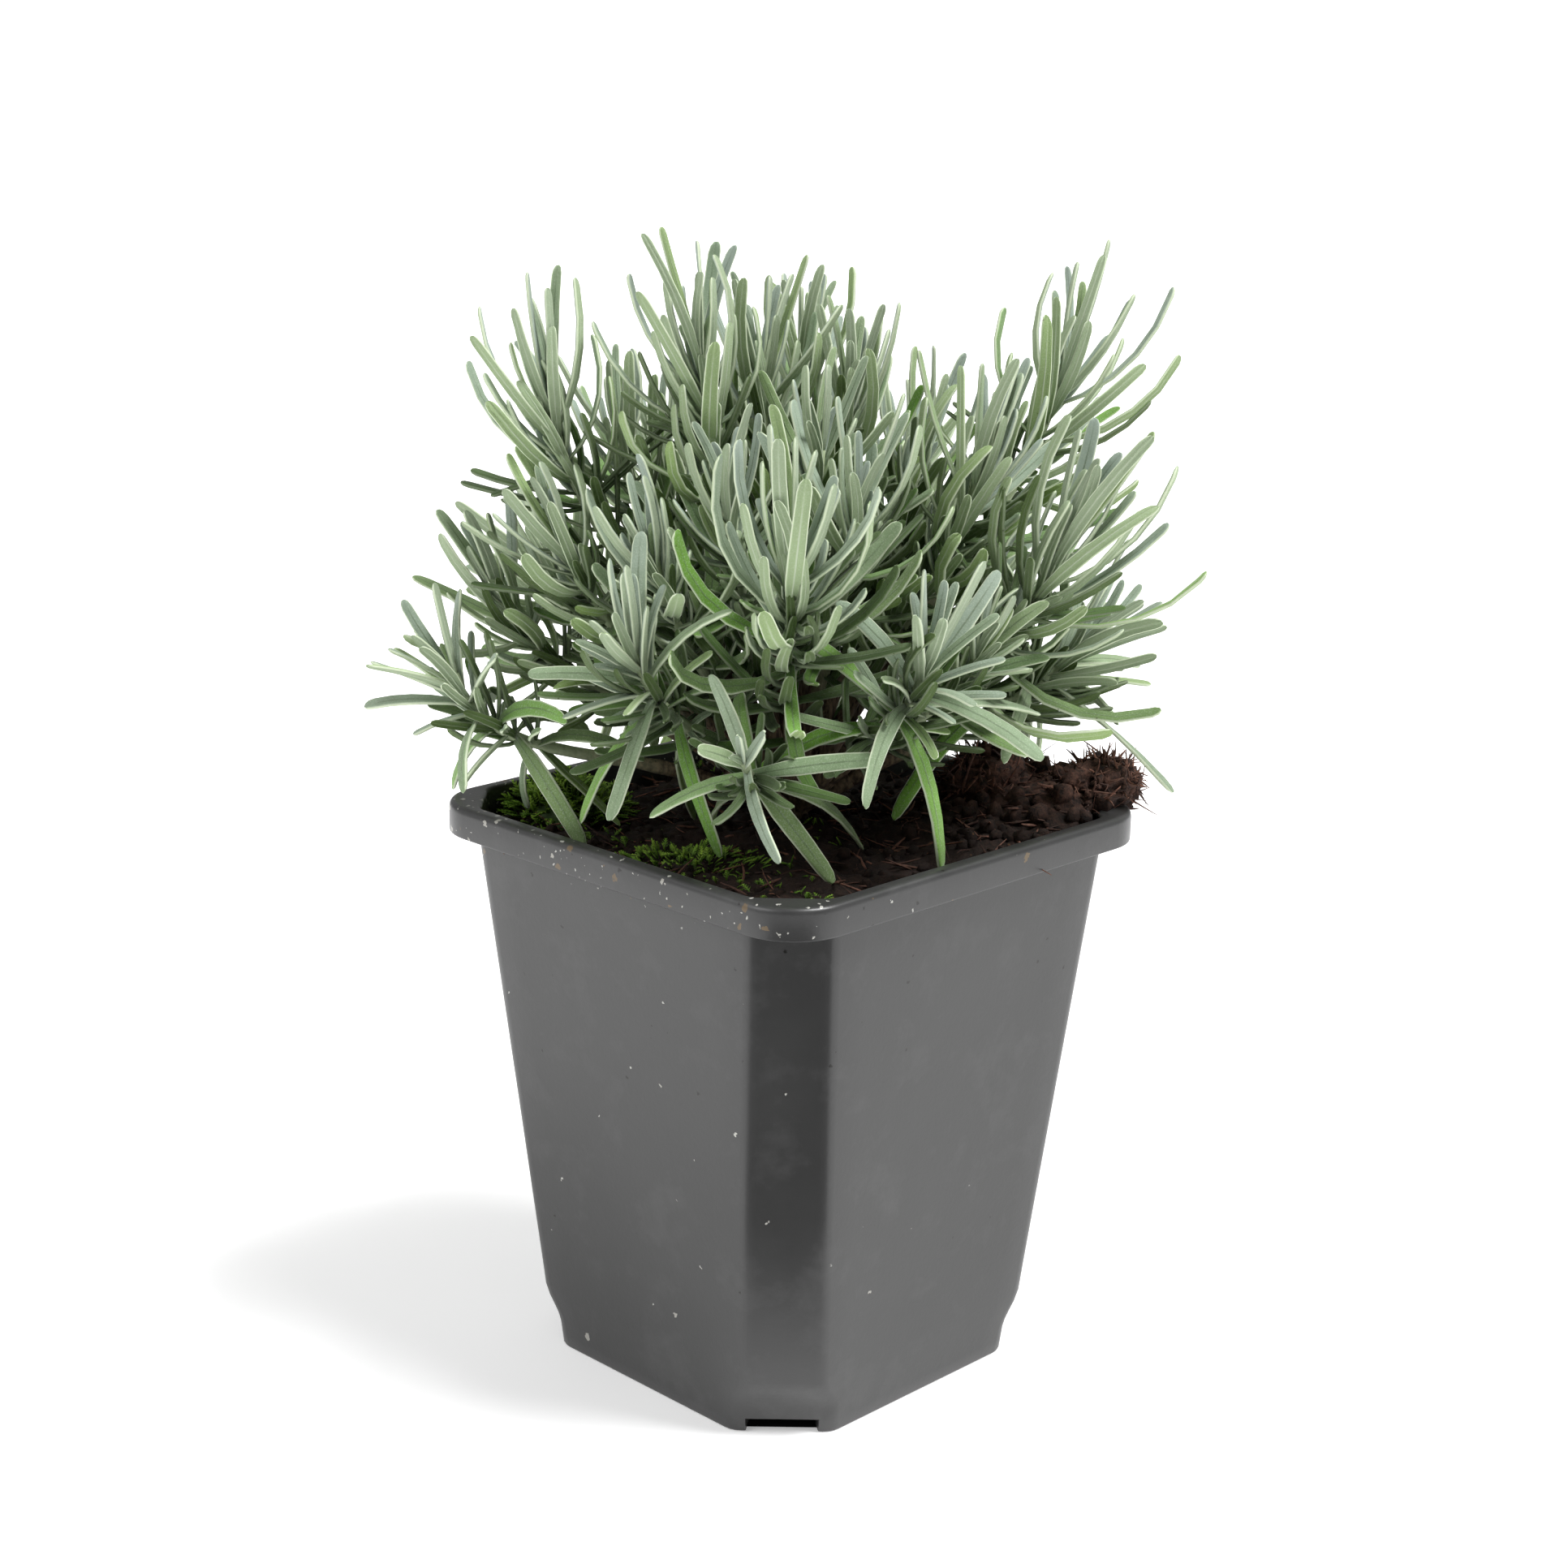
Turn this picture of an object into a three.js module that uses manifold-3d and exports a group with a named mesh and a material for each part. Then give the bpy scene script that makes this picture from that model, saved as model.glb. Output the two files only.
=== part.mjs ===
// A young lavender in its square nursery pot. Millimetres, +Z up. The origin is the middle of
// the pot's flat base, +X and +Y run square to the pot's walls, and the pot's front corner
// points to +X -Y. Every shoot is one solid: its stem with the leaves that grow on it.
import * as THREE from "three";
import { mergeVertices } from "three/addons/utils/BufferGeometryUtils.js";
import Module from "manifold-3d";

const wasm = await Module();
wasm.setup();

// ---- Driving dimensions ----

const POT_HEIGHT = 100;
const RIM_HALF = 45; // half the width across the rim, flat to flat
const RIM_CORNER = 10.6; // radius of the rim's corners
const SKIRT_DROP = 5.4; // height of the rim's turned-down skirt
const FLANGE = 0.9; // thickness of the rim's flat top
const SKIRT_WALL = 0.8;
const POT_WALL = 1.0;
const BASE_THICK = 1.2;
const BASE_HALF = 33.9; // half the width across the foot
const DRAFT = 0.0915; // how far each wall leans out for each mm of height
const CORNER_CUT = 9.4; // each corner is cut off flat, by this much along both walls
const FOOT_CUT = 12.2; // the cut is deeper at the foot
const FOOT_TOP = 4.6; // the deeper cut ends here
const FOOT_BLEND = 11; // and has eased back to the ordinary cut here
const NOTCH_WIDE = 12.5; // the drain notch under each corner
const NOTCH_HIGH = 2.6;
const NOTCH_DEEP = 11;
const DRAIN_WIDE = 3;
const GAP = 0.35; // clearance between touching pieces

const PEAT_TOP = 94.5;
const PEAT_HEAP = 10; // the peat is heaped up towards the right-hand corner
const TRUNK_FOOT = 72;
const TRUNK_TOP = 101;
const TRUNK_RADIUS = 3.4;
const CROWN_CENTRE = new THREE.Vector3(0, 0, 98); // all stems fan out from this point
const STUB_SHARE = 0.2; // the woody stub is this share of the way to a shoot's tip
const STUB_RADIUS = 1.35;
const STEM_RADIUS = 1.0;
const TOP_BUD = 1.2; // the youngest pair joins the stem this far below its end

const LEAF_THICK = 1.1;
const LEAF_FOOT = 0.55; // a leaf's width where it leaves the stem, as a share of its widest
const LEAF_CAP = 0.13; // its round end takes this share of its length
const LEAF_RINGS = [0.38, 0.75]; // where along a leaf its solid has a section
const LEAF_CLEARANCE = 1.75; // closest that two leaves' sample points may come
const STEM_CLEARANCE = 2.1;
const RIM_CLEARANCE = 0.9;
const WALL_REACH = 4.5; // from the rim's edge to a leaf hanging inside the wall
const PEAT_CLEARANCE = 1.4;
const LUMP_CLEARANCE = 2;

// How much leaves differ from one another: angles in degrees, the rest as shares.
const TURN_SPREAD = 11;
const OPEN_SPREAD = 9;
const CURL_SPREAD = 26;
const ROLL_SPREAD = 20;
const TWIST_SPREAD = 35;
const LENGTH_SPREAD = 0.13;
const WIDTH_SPREAD = 0.15;
const SWEEP_SPREAD = 0.3;

const COLOURS = {
  pot: [0x4b4c4e, 0.42],
  peat: [0x241a17, 0.97],
  moss: [0x4c6725, 0.95],
  wood: [0x5d5240, 0.9],
  leaf: [0x86937e, 0.75],
};

// ---- Vectors seen from the front corner ----

const SIDE = new THREE.Vector3(1, 1, 0).normalize(); // to the right-hand corner
const FRONT = new THREE.Vector3(1, -1, 0).normalize(); // to the front corner
const UP = new THREE.Vector3(0, 0, 1);

function place(side, front, height) {
  return new THREE.Vector3()
    .addScaledVector(SIDE, side)
    .addScaledVector(FRONT, front)
    .addScaledVector(UP, height);
}

// The shoots, one a row. name; tip, the [side, front, height] of the stem's end; rise, which turns
// that end from pointing away from the crown (0) to upright (1); leaf, the longest leaf; pairs, the
// number of opposite pairs of leaves; spacing, which sets the gaps between them; turn, the
// direction of the youngest pair; open, the angle to the stem of the youngest and the oldest pair;
// curl, how far they bend back towards the stem or, below zero, away from it.
const SHOOTS = [
  ["top_centre", [-16, 0, 176], 0.75, 28, 9, 1.8, 10, [11, 110], [10, 110]],
  ["top_left", [-42, -5, 169], 0.7, 25, 10, 1.8, 20, [13, 114], [14, 110]],
  ["top_left_inner", [-30, -14, 162], 0.7, 20, 7, 2.0, 60, [15, 102], [10, 84]],
  ["top_middle", [-6, -12, 173], 0.5, 25, 8, 1.9, 35, [13, 102], [10, 77]],
  ["top_middle_back", [1, -27, 172], 0.5, 25, 8, 2.0, 0, [15, 102], [10, 80]],
  ["top_middle_right", [9, -14, 167], 0.35, 25, 8, 2.0, 50, [13, 80], [6, 66]],
  ["top_right", [48, -35, 171], 0.5, 29, 8, 2.2, 5, [13, 108], [12, 96]],
  ["right_centre", [22, -20, 159], 0.8, 22, 7, 2.1, 15, [13, 104], [14, 96]],
  ["right_upper", [31, -4, 158], 0.6, 26, 8, 2.0, 30, [13, 100], [10, 77]],
  ["right_big", [44, 5, 145], 0.6, 32, 9, 1.9, 0, [13, 116], [10, 106]],
  ["right_low", [49, -10, 125], 0.3, 27, 6, 2.4, 20, [14, 116], [4, -45]],
  ["right_inner", [31, 15, 132], 0.6, 18, 6, 2.1, 40, [12, 76], [2, 40]],
  ["front_star", [-1, 35, 149], 0.55, 29, 9, 1.5, 8, [8, 116], [10, 92]],
  ["front_right", [21, 30, 132], 0.6, 23, 7, 2.0, 25, [10, 116], [10, -52]],
  ["front_low", [-8, 44, 119], 0.15, 20, 5, 2.4, 2, [30, 116], [4, -45]],
  ["front_left", [-26, 26, 132], 0.55, 23, 7, 2.0, 15, [10, 116], [10, -52]],
  ["left_low", [-57, 8, 124], 0.75, 22, 7, 2.0, 25, [14, 116], [14, -52]],
  ["left_middle", [-51, -6, 135], 0.55, 21, 7, 2.1, 50, [17, 116], [16, 88]],
  ["left_inner", [-39, 3, 146], 0.6, 22, 7, 2.1, 10, [15, 114], [12, 84]],
  ["left_front_inner", [-23, 15, 145], 0.55, 22, 8, 2.0, 35, [15, 114], [10, 77]],
  ["centre_front", [-11, 12, 153], 0.6, 22, 8, 2.1, 60, [15, 111], [10, 77]],
  ["centre_right", [10, 14, 155], 0.5, 24, 8, 2.1, 15, [13, 112], [10, 77]],
  ["centre_top", [4, 3, 162], 0.7, 21, 7, 2.2, 45, [13, 102], [10, 77]],
  ["back_left_top", [-24, -36, 155], 0.6, 24, 8, 2.1, 10, [13, 110], [10, 84]],
  ["back_top", [-4, -45, 158], 0.6, 25, 8, 2.1, 40, [13, 110], [10, 84]],
  ["back_right_top", [20, -46, 151], 0.55, 23, 7, 2.2, 70, [15, 110], [10, 77]],
  ["back_left", [-44, -28, 136], 0.5, 22, 7, 2.2, 35, [15, 108], [12, 62]],
  ["back_left_low", [-30, -48, 121], 0.45, 22, 6, 2.2, 5, [14, 116], [6, -45]],
  ["back", [-7, -56, 131], 0.5, 24, 7, 2.1, 15, [10, 96], [6, 40]],
  ["back_low", [12, -54, 117], 0.3, 21, 5, 2.4, 30, [20, 116], [4, -45]],
  ["back_right", [36, -42, 132], 0.5, 23, 7, 2.1, 20, [12, 94], [8, 40]],
  ["back_right_low", [50, -26, 122], 0.4, 22, 6, 2.2, 60, [14, 116], [4, -45]],
].map(([name, tip, rise, leaf, pairs, spacing, turn, open, curl]) => {
  return { name, tip, rise, leaf, pairs, spacing, turn, open, curl };
});

// ---- Solids ----

// A closed three.js geometry as a manifold solid.
function solid(geometry) {
  const bare = new THREE.BufferGeometry().setAttribute("position", geometry.getAttribute("position"));
  if (geometry.index) bare.setIndex(geometry.index);
  const merged = mergeVertices(bare, 1e-4);
  return new wasm.Manifold(
    new wasm.Mesh({
      numProp: 3,
      vertProperties: new Float32Array(merged.getAttribute("position").array),
      triVerts: new Uint32Array(merged.index.array),
    }),
  );
}

// A manifold solid as a named mesh.
function named(name, body, [colour, roughness]) {
  const made = body.getMesh();
  const geometry = new THREE.BufferGeometry()
    .setAttribute("position", new THREE.BufferAttribute(made.vertProperties, 3))
    .setIndex(new THREE.BufferAttribute(made.triVerts, 1));
  geometry.computeVertexNormals();
  const mesh = new THREE.Mesh(
    geometry,
    new THREE.MeshStandardMaterial({ color: colour, roughness, metalness: 0 }),
  );
  mesh.name = name;
  return mesh;
}

// A skin over a stack of rings of points, all with the same count and counter-clockwise seen
// from above, closed by a fan of triangles around a point at each end.
function loft(rings, bottomCentre, topCentre) {
  const count = rings[0].length;
  const points = [...rings.flat(), bottomCentre, topCentre];
  const bottom = points.length - 2;
  const top = points.length - 1;
  const faces = [];
  for (let ring = 0; ring + 1 < rings.length; ring++) {
    for (let i = 0; i < count; i++) {
      const a = ring * count + i;
      const b = ring * count + ((i + 1) % count);
      faces.push(a, b, b + count, a, b + count, a + count);
    }
  }
  const last = (rings.length - 1) * count;
  for (let i = 0; i < count; i++) {
    const next = (i + 1) % count;
    faces.push(bottom, next, i, top, last + i, last + next);
  }
  return new THREE.BufferGeometry().setFromPoints(points).setIndex(faces);
}

function box(low, high) {
  const size = new THREE.Vector3().subVectors(high, low);
  const middle = new THREE.Vector3().addVectors(high, low).multiplyScalar(0.5);
  return new THREE.BoxGeometry(size.x, size.y, size.z).translate(middle.x, middle.y, middle.z);
}

// ---- Pot ----

// A square whose corners are cut off flat, with the sixteen edges eased a little.
function cutSquare(half, cut, height) {
  const ease = 1.1;
  const slant = ease / Math.SQRT2;
  const corner = [
    [half, half - cut - ease],
    [half - slant, half - cut + slant],
    [half - cut + slant, half - slant],
    [half - cut - ease, half],
  ];
  const ring = [];
  for (let quarter = 0; quarter < 4; quarter++) {
    const turn = (quarter * Math.PI) / 2;
    for (const [x, y] of corner) {
      ring.push(new THREE.Vector3(x, y, height).applyAxisAngle(UP, turn));
    }
  }
  return ring;
}

// The wall's rings from one height to another, drawn in by inset from its outer face.
function wallRings(from, to, inset) {
  const heights = [from, FOOT_TOP, FOOT_BLEND, to].filter((z) => z >= from && z <= to);
  return [...new Set(heights)].map((z) => {
    const blend = THREE.MathUtils.clamp((FOOT_BLEND - z) / (FOOT_BLEND - FOOT_TOP), 0, 1);
    const cut = CORNER_CUT + (FOOT_CUT - CORNER_CUT) * blend;
    const cornerInset = inset * (2 - Math.SQRT2);
    return cutSquare(BASE_HALF + DRAFT * z - inset, cut - cornerInset, z);
  });
}

function wallSolid(from, to, inset) {
  const rings = wallRings(from, to, inset);
  return solid(loft(rings, new THREE.Vector3(0, 0, from), new THREE.Vector3(0, 0, to)));
}

function roundedSquare(half, radius, from, depth) {
  const shape = new THREE.Shape();
  for (let quarter = 0; quarter < 4; quarter++) {
    const start = (quarter * Math.PI) / 2;
    const centre = new THREE.Vector2(half - radius, half - radius);
    centre.rotateAround(new THREE.Vector2(), start);
    shape.absarc(centre.x, centre.y, radius, start, start + Math.PI / 2, false);
  }
  const extruded = new THREE.ExtrudeGeometry(shape, { depth, bevelEnabled: false, curveSegments: 5 });
  return solid(extruded.translate(0, 0, from));
}

// A block under the pot's corner, on the line to that corner; the notch and its roof.
function cornerBlocks(wide, from, to, inner, outer) {
  const low = new THREE.Vector3(inner, -wide / 2, from);
  const high = new THREE.Vector3(outer, wide / 2, to);
  const blocks = [];
  for (let quarter = 0; quarter < 4; quarter++) {
    const turned = box(low, high).rotateZ(Math.PI / 4 + (quarter * Math.PI) / 2);
    blocks.push(solid(turned));
  }
  return wasm.Manifold.union(blocks);
}

const footCorner = BASE_HALF * Math.SQRT2 - FOOT_CUT / Math.SQRT2; // middle to the cut corner
const notchInner = footCorner - NOTCH_DEEP;
const roofTop = NOTCH_HIGH + BASE_THICK;

function nurseryPot() {
  const skirtFoot = POT_HEIGHT - SKIRT_DROP;
  const underFlange = POT_HEIGHT - FLANGE;
  const rim = roundedSquare(RIM_HALF, RIM_CORNER, skirtFoot, SKIRT_DROP).subtract(
    roundedSquare(RIM_HALF - SKIRT_WALL, RIM_CORNER - SKIRT_WALL, skirtFoot - 1, underFlange - skirtFoot + 1),
  );
  const roofWide = NOTCH_WIDE + 2 * BASE_THICK;
  const roofs = cornerBlocks(roofWide, 0.5, roofTop, notchInner - BASE_THICK, footCorner + 5);
  const notches = cornerBlocks(NOTCH_WIDE, -1, NOTCH_HIGH, notchInner, footCorner + 5);
  const drains = cornerBlocks(DRAIN_WIDE, -1, roofTop + 1, notchInner + 2, footCorner - 3);
  return wallSolid(0, POT_HEIGHT, 0)
    .add(rim)
    .subtract(wallSolid(BASE_THICK, POT_HEIGHT + 1, POT_WALL))
    .add(roofs.intersect(wallSolid(0, 20, POT_WALL / 2)))
    .subtract(notches)
    .subtract(drains);
}

// ---- Peat and moss ----

// How high the peat stands at a point: level, a little uneven, and heaped to the right.
function peatHeight(x, y) {
  const side = (x + y) / Math.SQRT2;
  const front = (x - y) / Math.SQRT2;
  const heap = Math.exp(-((side - 44) ** 2 + (front + 8) ** 2) / (2 * 14 ** 2));
  const collar = Math.exp(-(x * x + y * y) / (2 * 12 ** 2));
  const rough = 0.5 * Math.sin(x / 5 + 1) * Math.cos(y / 6) + 0.3 * Math.sin(x / 2.7 - y / 3.1);
  return PEAT_TOP + PEAT_HEAP * heap + 2 * collar + rough;
}

function peatPlug() {
  const rings = wallRings(BASE_THICK + GAP, 92, POT_WALL + GAP);
  const edge = wallRings(20, PEAT_TOP - 1, POT_WALL + GAP).at(-1);
  for (const share of [1, 0.92, 0.74, 0.52, 0.28]) {
    rings.push(
      edge.map(({ x, y }) => new THREE.Vector3(x * share, y * share, peatHeight(x * share, y * share))),
    );
  }
  const body = solid(
    loft(rings, new THREE.Vector3(0, 0, BASE_THICK + GAP), new THREE.Vector3(0, 0, peatHeight(0, 0))),
  );
  const roofs = cornerBlocks(
    NOTCH_WIDE + 2 * BASE_THICK + 2 * GAP, 0, roofTop + GAP, notchInner - BASE_THICK - GAP, footCorner + 5,
  );
  return body.subtract(roofs);
}

// A lump that lies on the peat: a ball squashed and roughened, cut off where the peat begins.
function lump(plug, { centre, radii, seed, gnarl }) {
  const skin = new THREE.IcosahedronGeometry(1, 3).deleteAttribute("normal").deleteAttribute("uv");
  const ball = mergeVertices(skin, 1e-4);
  const spots = ball.getAttribute("position");
  for (let i = 0; i < spots.count; i++) {
    const v = new THREE.Vector3().fromBufferAttribute(spots, i);
    const broad = Math.sin(4 * v.x + seed) * Math.cos(5 * v.y - seed);
    const fine = 0.7 * Math.sin(9 * v.z + 6 * v.x + 2 * seed);
    v.multiplyScalar(1 + gnarl * (broad + fine)).multiply(radii).add(centre);
    spots.setXYZ(i, v.x, v.y, v.z);
  }
  const raised = plug.translate([0, 0, GAP]).add(plug);
  const rimTop = roundedSquare(RIM_HALF + 1, RIM_CORNER, 80, POT_HEIGHT + GAP - 80);
  const inside = wallSolid(20, 130, POT_WALL + 2 * GAP);
  const cut = solid(ball).subtract(raised).subtract(rimTop.subtract(inside));
  return cut.decompose().sort((a, b) => b.volume() - a.volume())[0];
}

// side, front: the place; sink: how far the middle lies below the peat; radii: to the side, to
// the front and up.
const LUMPS = {
  moss_tuft_left: { side: -40, front: -10, sink: 0.5, radii: [11, 9, 6], seed: 1, gnarl: 0.1, of: "moss" },
  moss_tuft_front: { side: -17, front: 20, sink: 1, radii: [13, 6, 3.5], seed: 2, gnarl: 0.1, of: "moss" },
  peat_clod_right: { side: 54, front: -5, sink: 0.5, radii: [7, 10, 6], seed: 3, gnarl: 0.16, of: "peat" },
  peat_clod_inner: { side: 35, front: -7, sink: 1, radii: [9, 9, 8], seed: 5, gnarl: 0.16, of: "peat" },
};

// ---- Growth ----

// A number from -1 to 1 that looks random but is the same each time.
function chance(a, b) {
  const swing = Math.sin(a * 12.9898 + b * 78.233) * 43758.5453;
  return (swing - Math.floor(swing)) * 2 - 1;
}

// A shoot's stem: a cubic curve from the end of its stub on the crown to its tip.
function stemOf(shoot) {
  const tip = place(...shoot.tip);
  const away = new THREE.Vector3().subVectors(tip, CROWN_CENTRE);
  const base = CROWN_CENTRE.clone().addScaledVector(away, STUB_SHARE);
  const reach = away.length() * (1 - STUB_SHARE);
  const outward = away.clone().normalize();
  const axis = outward.clone().multiplyScalar(1 - shoot.rise).addScaledVector(UP, shoot.rise).normalize();
  const curve = new THREE.CubicBezierCurve3(
    base,
    base.clone().addScaledVector(outward, reach * 0.4),
    tip.clone().addScaledVector(axis, -reach * 0.35),
    tip,
  );
  return { curve, reach, outward, base };
}

// How wide a leaf is at a share t of its length: narrower at the stem, nearly even from a third
// of the way on, round at the end.
function leafWidth(leaf, t) {
  const foot = LEAF_FOOT + (1 - LEAF_FOOT) * THREE.MathUtils.smoothstep(t, 0, 0.4);
  const taper = 1 - 0.14 * THREE.MathUtils.smoothstep(t, 0.55, 0.9);
  const cap = Math.max(0, t - 1 + LEAF_CAP) / LEAF_CAP;
  return leaf.width * foot * taper * Math.sqrt(Math.max(0, 1 - cap * cap));
}

// The middle of a leaf at a share t of its length, and the leaf's sideways and upper
// directions there. In the plane of the stem and the leaf the middle line is an arc of a
// circle; its own weight adds a droop, and sweep bends it sideways. It is rolled about that line
// where it leaves the stem, and twisted further with t.
function leafAt(leaf, t) {
  const { axis, out, side, open, curl, length } = leaf;
  const now = open - curl * t;
  const alongAxis = (length * (Math.sin(open) - Math.sin(now))) / curl;
  const alongOut = (length * (Math.cos(now) - Math.cos(open))) / curl;
  const middle = leaf.base.clone()
    .addScaledVector(axis, alongAxis)
    .addScaledVector(out, alongOut)
    .addScaledVector(side, leaf.sweep * length * t * t)
    .addScaledVector(UP, -leaf.droop * length * t * t);
  const face = axis.clone().multiplyScalar(Math.sin(now)).addScaledVector(out, -Math.cos(now));
  const roll = leaf.roll + leaf.twist * t;
  const across = side.clone().multiplyScalar(Math.cos(roll)).addScaledVector(face, Math.sin(roll));
  const above = face.multiplyScalar(Math.cos(roll)).addScaledVector(side, -Math.sin(roll));
  return { middle, across, above };
}

const SAMPLE_STEPS = 20;
const SAMPLES_ACROSS = [-1, 0, 1];
const MARGIN_SHARE = 0.42; // of the leaf's width, from its middle line to the outer samples
const JOINED_STEPS = 2; // steps of a leaf that are still at its stem
const CROWDED_STEPS = 8; // steps in which it may touch its own shoot's other leaves
const MIDDLE_SAMPLE = (SAMPLE_STEPS / 2) * SAMPLES_ACROSS.length + 1;

// Points over a leaf, three across at each step, for the clearance test.
function leafSamples(leaf) {
  const samples = [];
  for (let step = 0; step <= SAMPLE_STEPS; step++) {
    const t = step / SAMPLE_STEPS;
    const { middle, across } = leafAt(leaf, t);
    const reach = leafWidth(leaf, t) * MARGIN_SHARE;
    for (const share of SAMPLES_ACROSS) {
      samples.push(middle.clone().addScaledVector(across, share * reach));
    }
  }
  return samples;
}

function nearAny(samples, others, clearance) {
  const limit = clearance * clearance;
  return samples.some((a) => others.some((b) => a.distanceToSquared(b) < limit));
}

// A leaf may hang over the peat or outside the rim, but goes through neither.
function touchesPot({ x, y, z }) {
  const reach = Math.max(Math.abs(x), Math.abs(y));
  const low = z < peatHeight(x, y) + PEAT_CLEARANCE;
  if (reach > RIM_HALF + RIM_CLEARANCE) return false;
  if (z > POT_HEIGHT + RIM_CLEARANCE) return low;
  return reach > RIM_HALF - WALL_REACH || low;
}

function touchesLump(point) {
  return Object.values(LUMPS).some(({ side, front, sink, radii }) => {
    const centre = place(side, front, 0);
    const offset = new THREE.Vector3(point.x - centre.x, point.y - centre.y, 0);
    const reach = Math.hypot(
      offset.dot(SIDE) / (radii[0] + LUMP_CLEARANCE),
      offset.dot(FRONT) / (radii[1] + LUMP_CLEARANCE),
    );
    if (reach >= 1) return false;
    const rise = (radii[2] + 0.75 * LUMP_CLEARANCE) * Math.sqrt(1 - reach * reach);
    return point.z < peatHeight(point.x, point.y) - sink + rise;
  });
}

// Ways to move a leaf that has no room, in the order they are tried: turn about the stem and
// change of opening, in degrees, and share of the length.
const TRIES = [
  [0, 0, 1], [16, 0, 1], [-16, 0, 1], [0, 12, 1], [0, -12, 1], [26, 10, 1], [-26, 10, 1],
  [26, -10, 0.9], [-26, -10, 0.9], [40, 0, 0.85], [-40, 0, 0.85], [0, 24, 0.8], [0, -20, 0.8],
  [20, 20, 0.7], [-20, 20, 0.7], [20, -16, 0.65], [-20, -16, 0.65], [0, 0, 0.55],
];
const YOUNG_LENGTHS = [0.8, 0.92, 0.98]; // the youngest pairs are still growing

function makeLeaf(shoot, number, stem, pair, which, [turnBy, openBy, share]) {
  const seed = number * 31 + pair * 2 + which;
  const age = pair / (shoot.pairs - 1);
  const high = THREE.MathUtils.smoothstep(shoot.tip[2], 125, 160); // 0 for low shoots, 1 for high ones
  const at = 1 - (TOP_BUD + shoot.spacing * pair * (1 + 0.11 * pair)) / stem.reach;
  const axis = stem.curve.getTangent(at);
  const right = axis.clone().cross(FRONT).normalize();
  const ahead = right.clone().cross(axis);
  const turned = shoot.turn + 90 * pair + 180 * which + TURN_SPREAD * chance(seed, 1) + turnBy;
  const turn = THREE.MathUtils.degToRad(turned);
  const [openYoung, openOld] = shoot.open;
  const [curlYoung, curlOld] = shoot.curl;
  const open = openYoung + (openOld - openYoung) * age ** 0.8 + OPEN_SPREAD * chance(seed, 2) + openBy;
  const bent = curlYoung + (curlOld - curlYoung) * age ** 0.65;
  const curl = bent + CURL_SPREAD * chance(seed, 3) * Math.sqrt(age);
  const young = YOUNG_LENGTHS[pair] ?? 1;
  const length = shoot.leaf * young * (1 + LENGTH_SPREAD * chance(seed, 4)) * share;
  const breadth = (0.9 + 0.25 * age) * (1.5 - 0.5 * high);
  const out = right.multiplyScalar(Math.cos(turn)).addScaledVector(ahead, Math.sin(turn));
  return {
    base: stem.curve.getPoint(at),
    axis,
    out,
    side: axis.clone().cross(out),
    open: THREE.MathUtils.degToRad(Math.max(4, open)),
    curl: THREE.MathUtils.degToRad(Math.abs(curl) < 1 ? 1 : curl),
    length,
    width: (1.1 + 0.042 * length) * breadth * (1 + WIDTH_SPREAD * chance(seed, 5)),
    sweep: SWEEP_SPREAD * chance(seed, 6),
    droop: (0.5 - 0.44 * high) * age * age,
    roll: THREE.MathUtils.degToRad(ROLL_SPREAD * chance(seed, 7)),
    twist: THREE.MathUtils.degToRad(TWIST_SPREAD * chance(seed, 9)),
  };
}

// Whether a leaf would touch the pot, the peat, a leaf that has grown or another shoot's stem.
function isBlocked(leaf, samples, number, taken, stemPoints) {
  const free = samples.slice(JOINED_STEPS * SAMPLES_ACROSS.length);
  if (free.some((point) => touchesPot(point) || touchesLump(point))) return true;
  const crowded = CROWDED_STEPS * SAMPLES_ACROSS.length;
  for (const one of taken) {
    const apart = one.samples[MIDDLE_SAMPLE].distanceTo(samples[MIDDLE_SAMPLE]);
    if (apart >= (one.length + leaf.length) * 0.75 + 4) continue; // too far apart to touch
    const touching =
      one.number === number
        ? nearAny(samples.slice(crowded), one.samples.slice(crowded), LEAF_CLEARANCE * 0.7)
        : nearAny(samples, one.samples, LEAF_CLEARANCE);
    if (touching) return true;
  }
  return stemPoints.some((points, other) => other !== number && nearAny(samples, points, STEM_CLEARANCE));
}

// All shoots grow together, a pair of leaves on each in turn, youngest first; a leaf takes the
// first of its tries that has room, and is left out if none has.
function growAll() {
  const stems = SHOOTS.map(stemOf);
  const stemPoints = stems.map(({ curve, reach, base }) => [
    ...curve.getPoints(Math.round(reach / 1.5)),
    ...new THREE.LineCurve3(CROWN_CENTRE, base).getPoints(10),
  ]);
  const grown = SHOOTS.map(() => []);
  const taken = [];
  const growLeaf = (shoot, number, pair, which) => {
    for (const attempt of TRIES) {
      const leaf = makeLeaf(shoot, number, stems[number], pair, which, attempt);
      const samples = leafSamples(leaf);
      if (isBlocked(leaf, samples, number, taken, stemPoints)) continue;
      taken.push({ number, samples, length: leaf.length });
      grown[number].push(leaf);
      return;
    }
  };
  const mostPairs = Math.max(...SHOOTS.map((shoot) => shoot.pairs));
  for (let pair = 0; pair < mostPairs; pair++) {
    SHOOTS.forEach((shoot, number) => {
      if (pair >= shoot.pairs) return;
      growLeaf(shoot, number, pair, 0);
      growLeaf(shoot, number, pair, 1);
    });
  }
  return { stems, grown };
}

// ---- Crown, stems and leaves as solids ----

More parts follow.
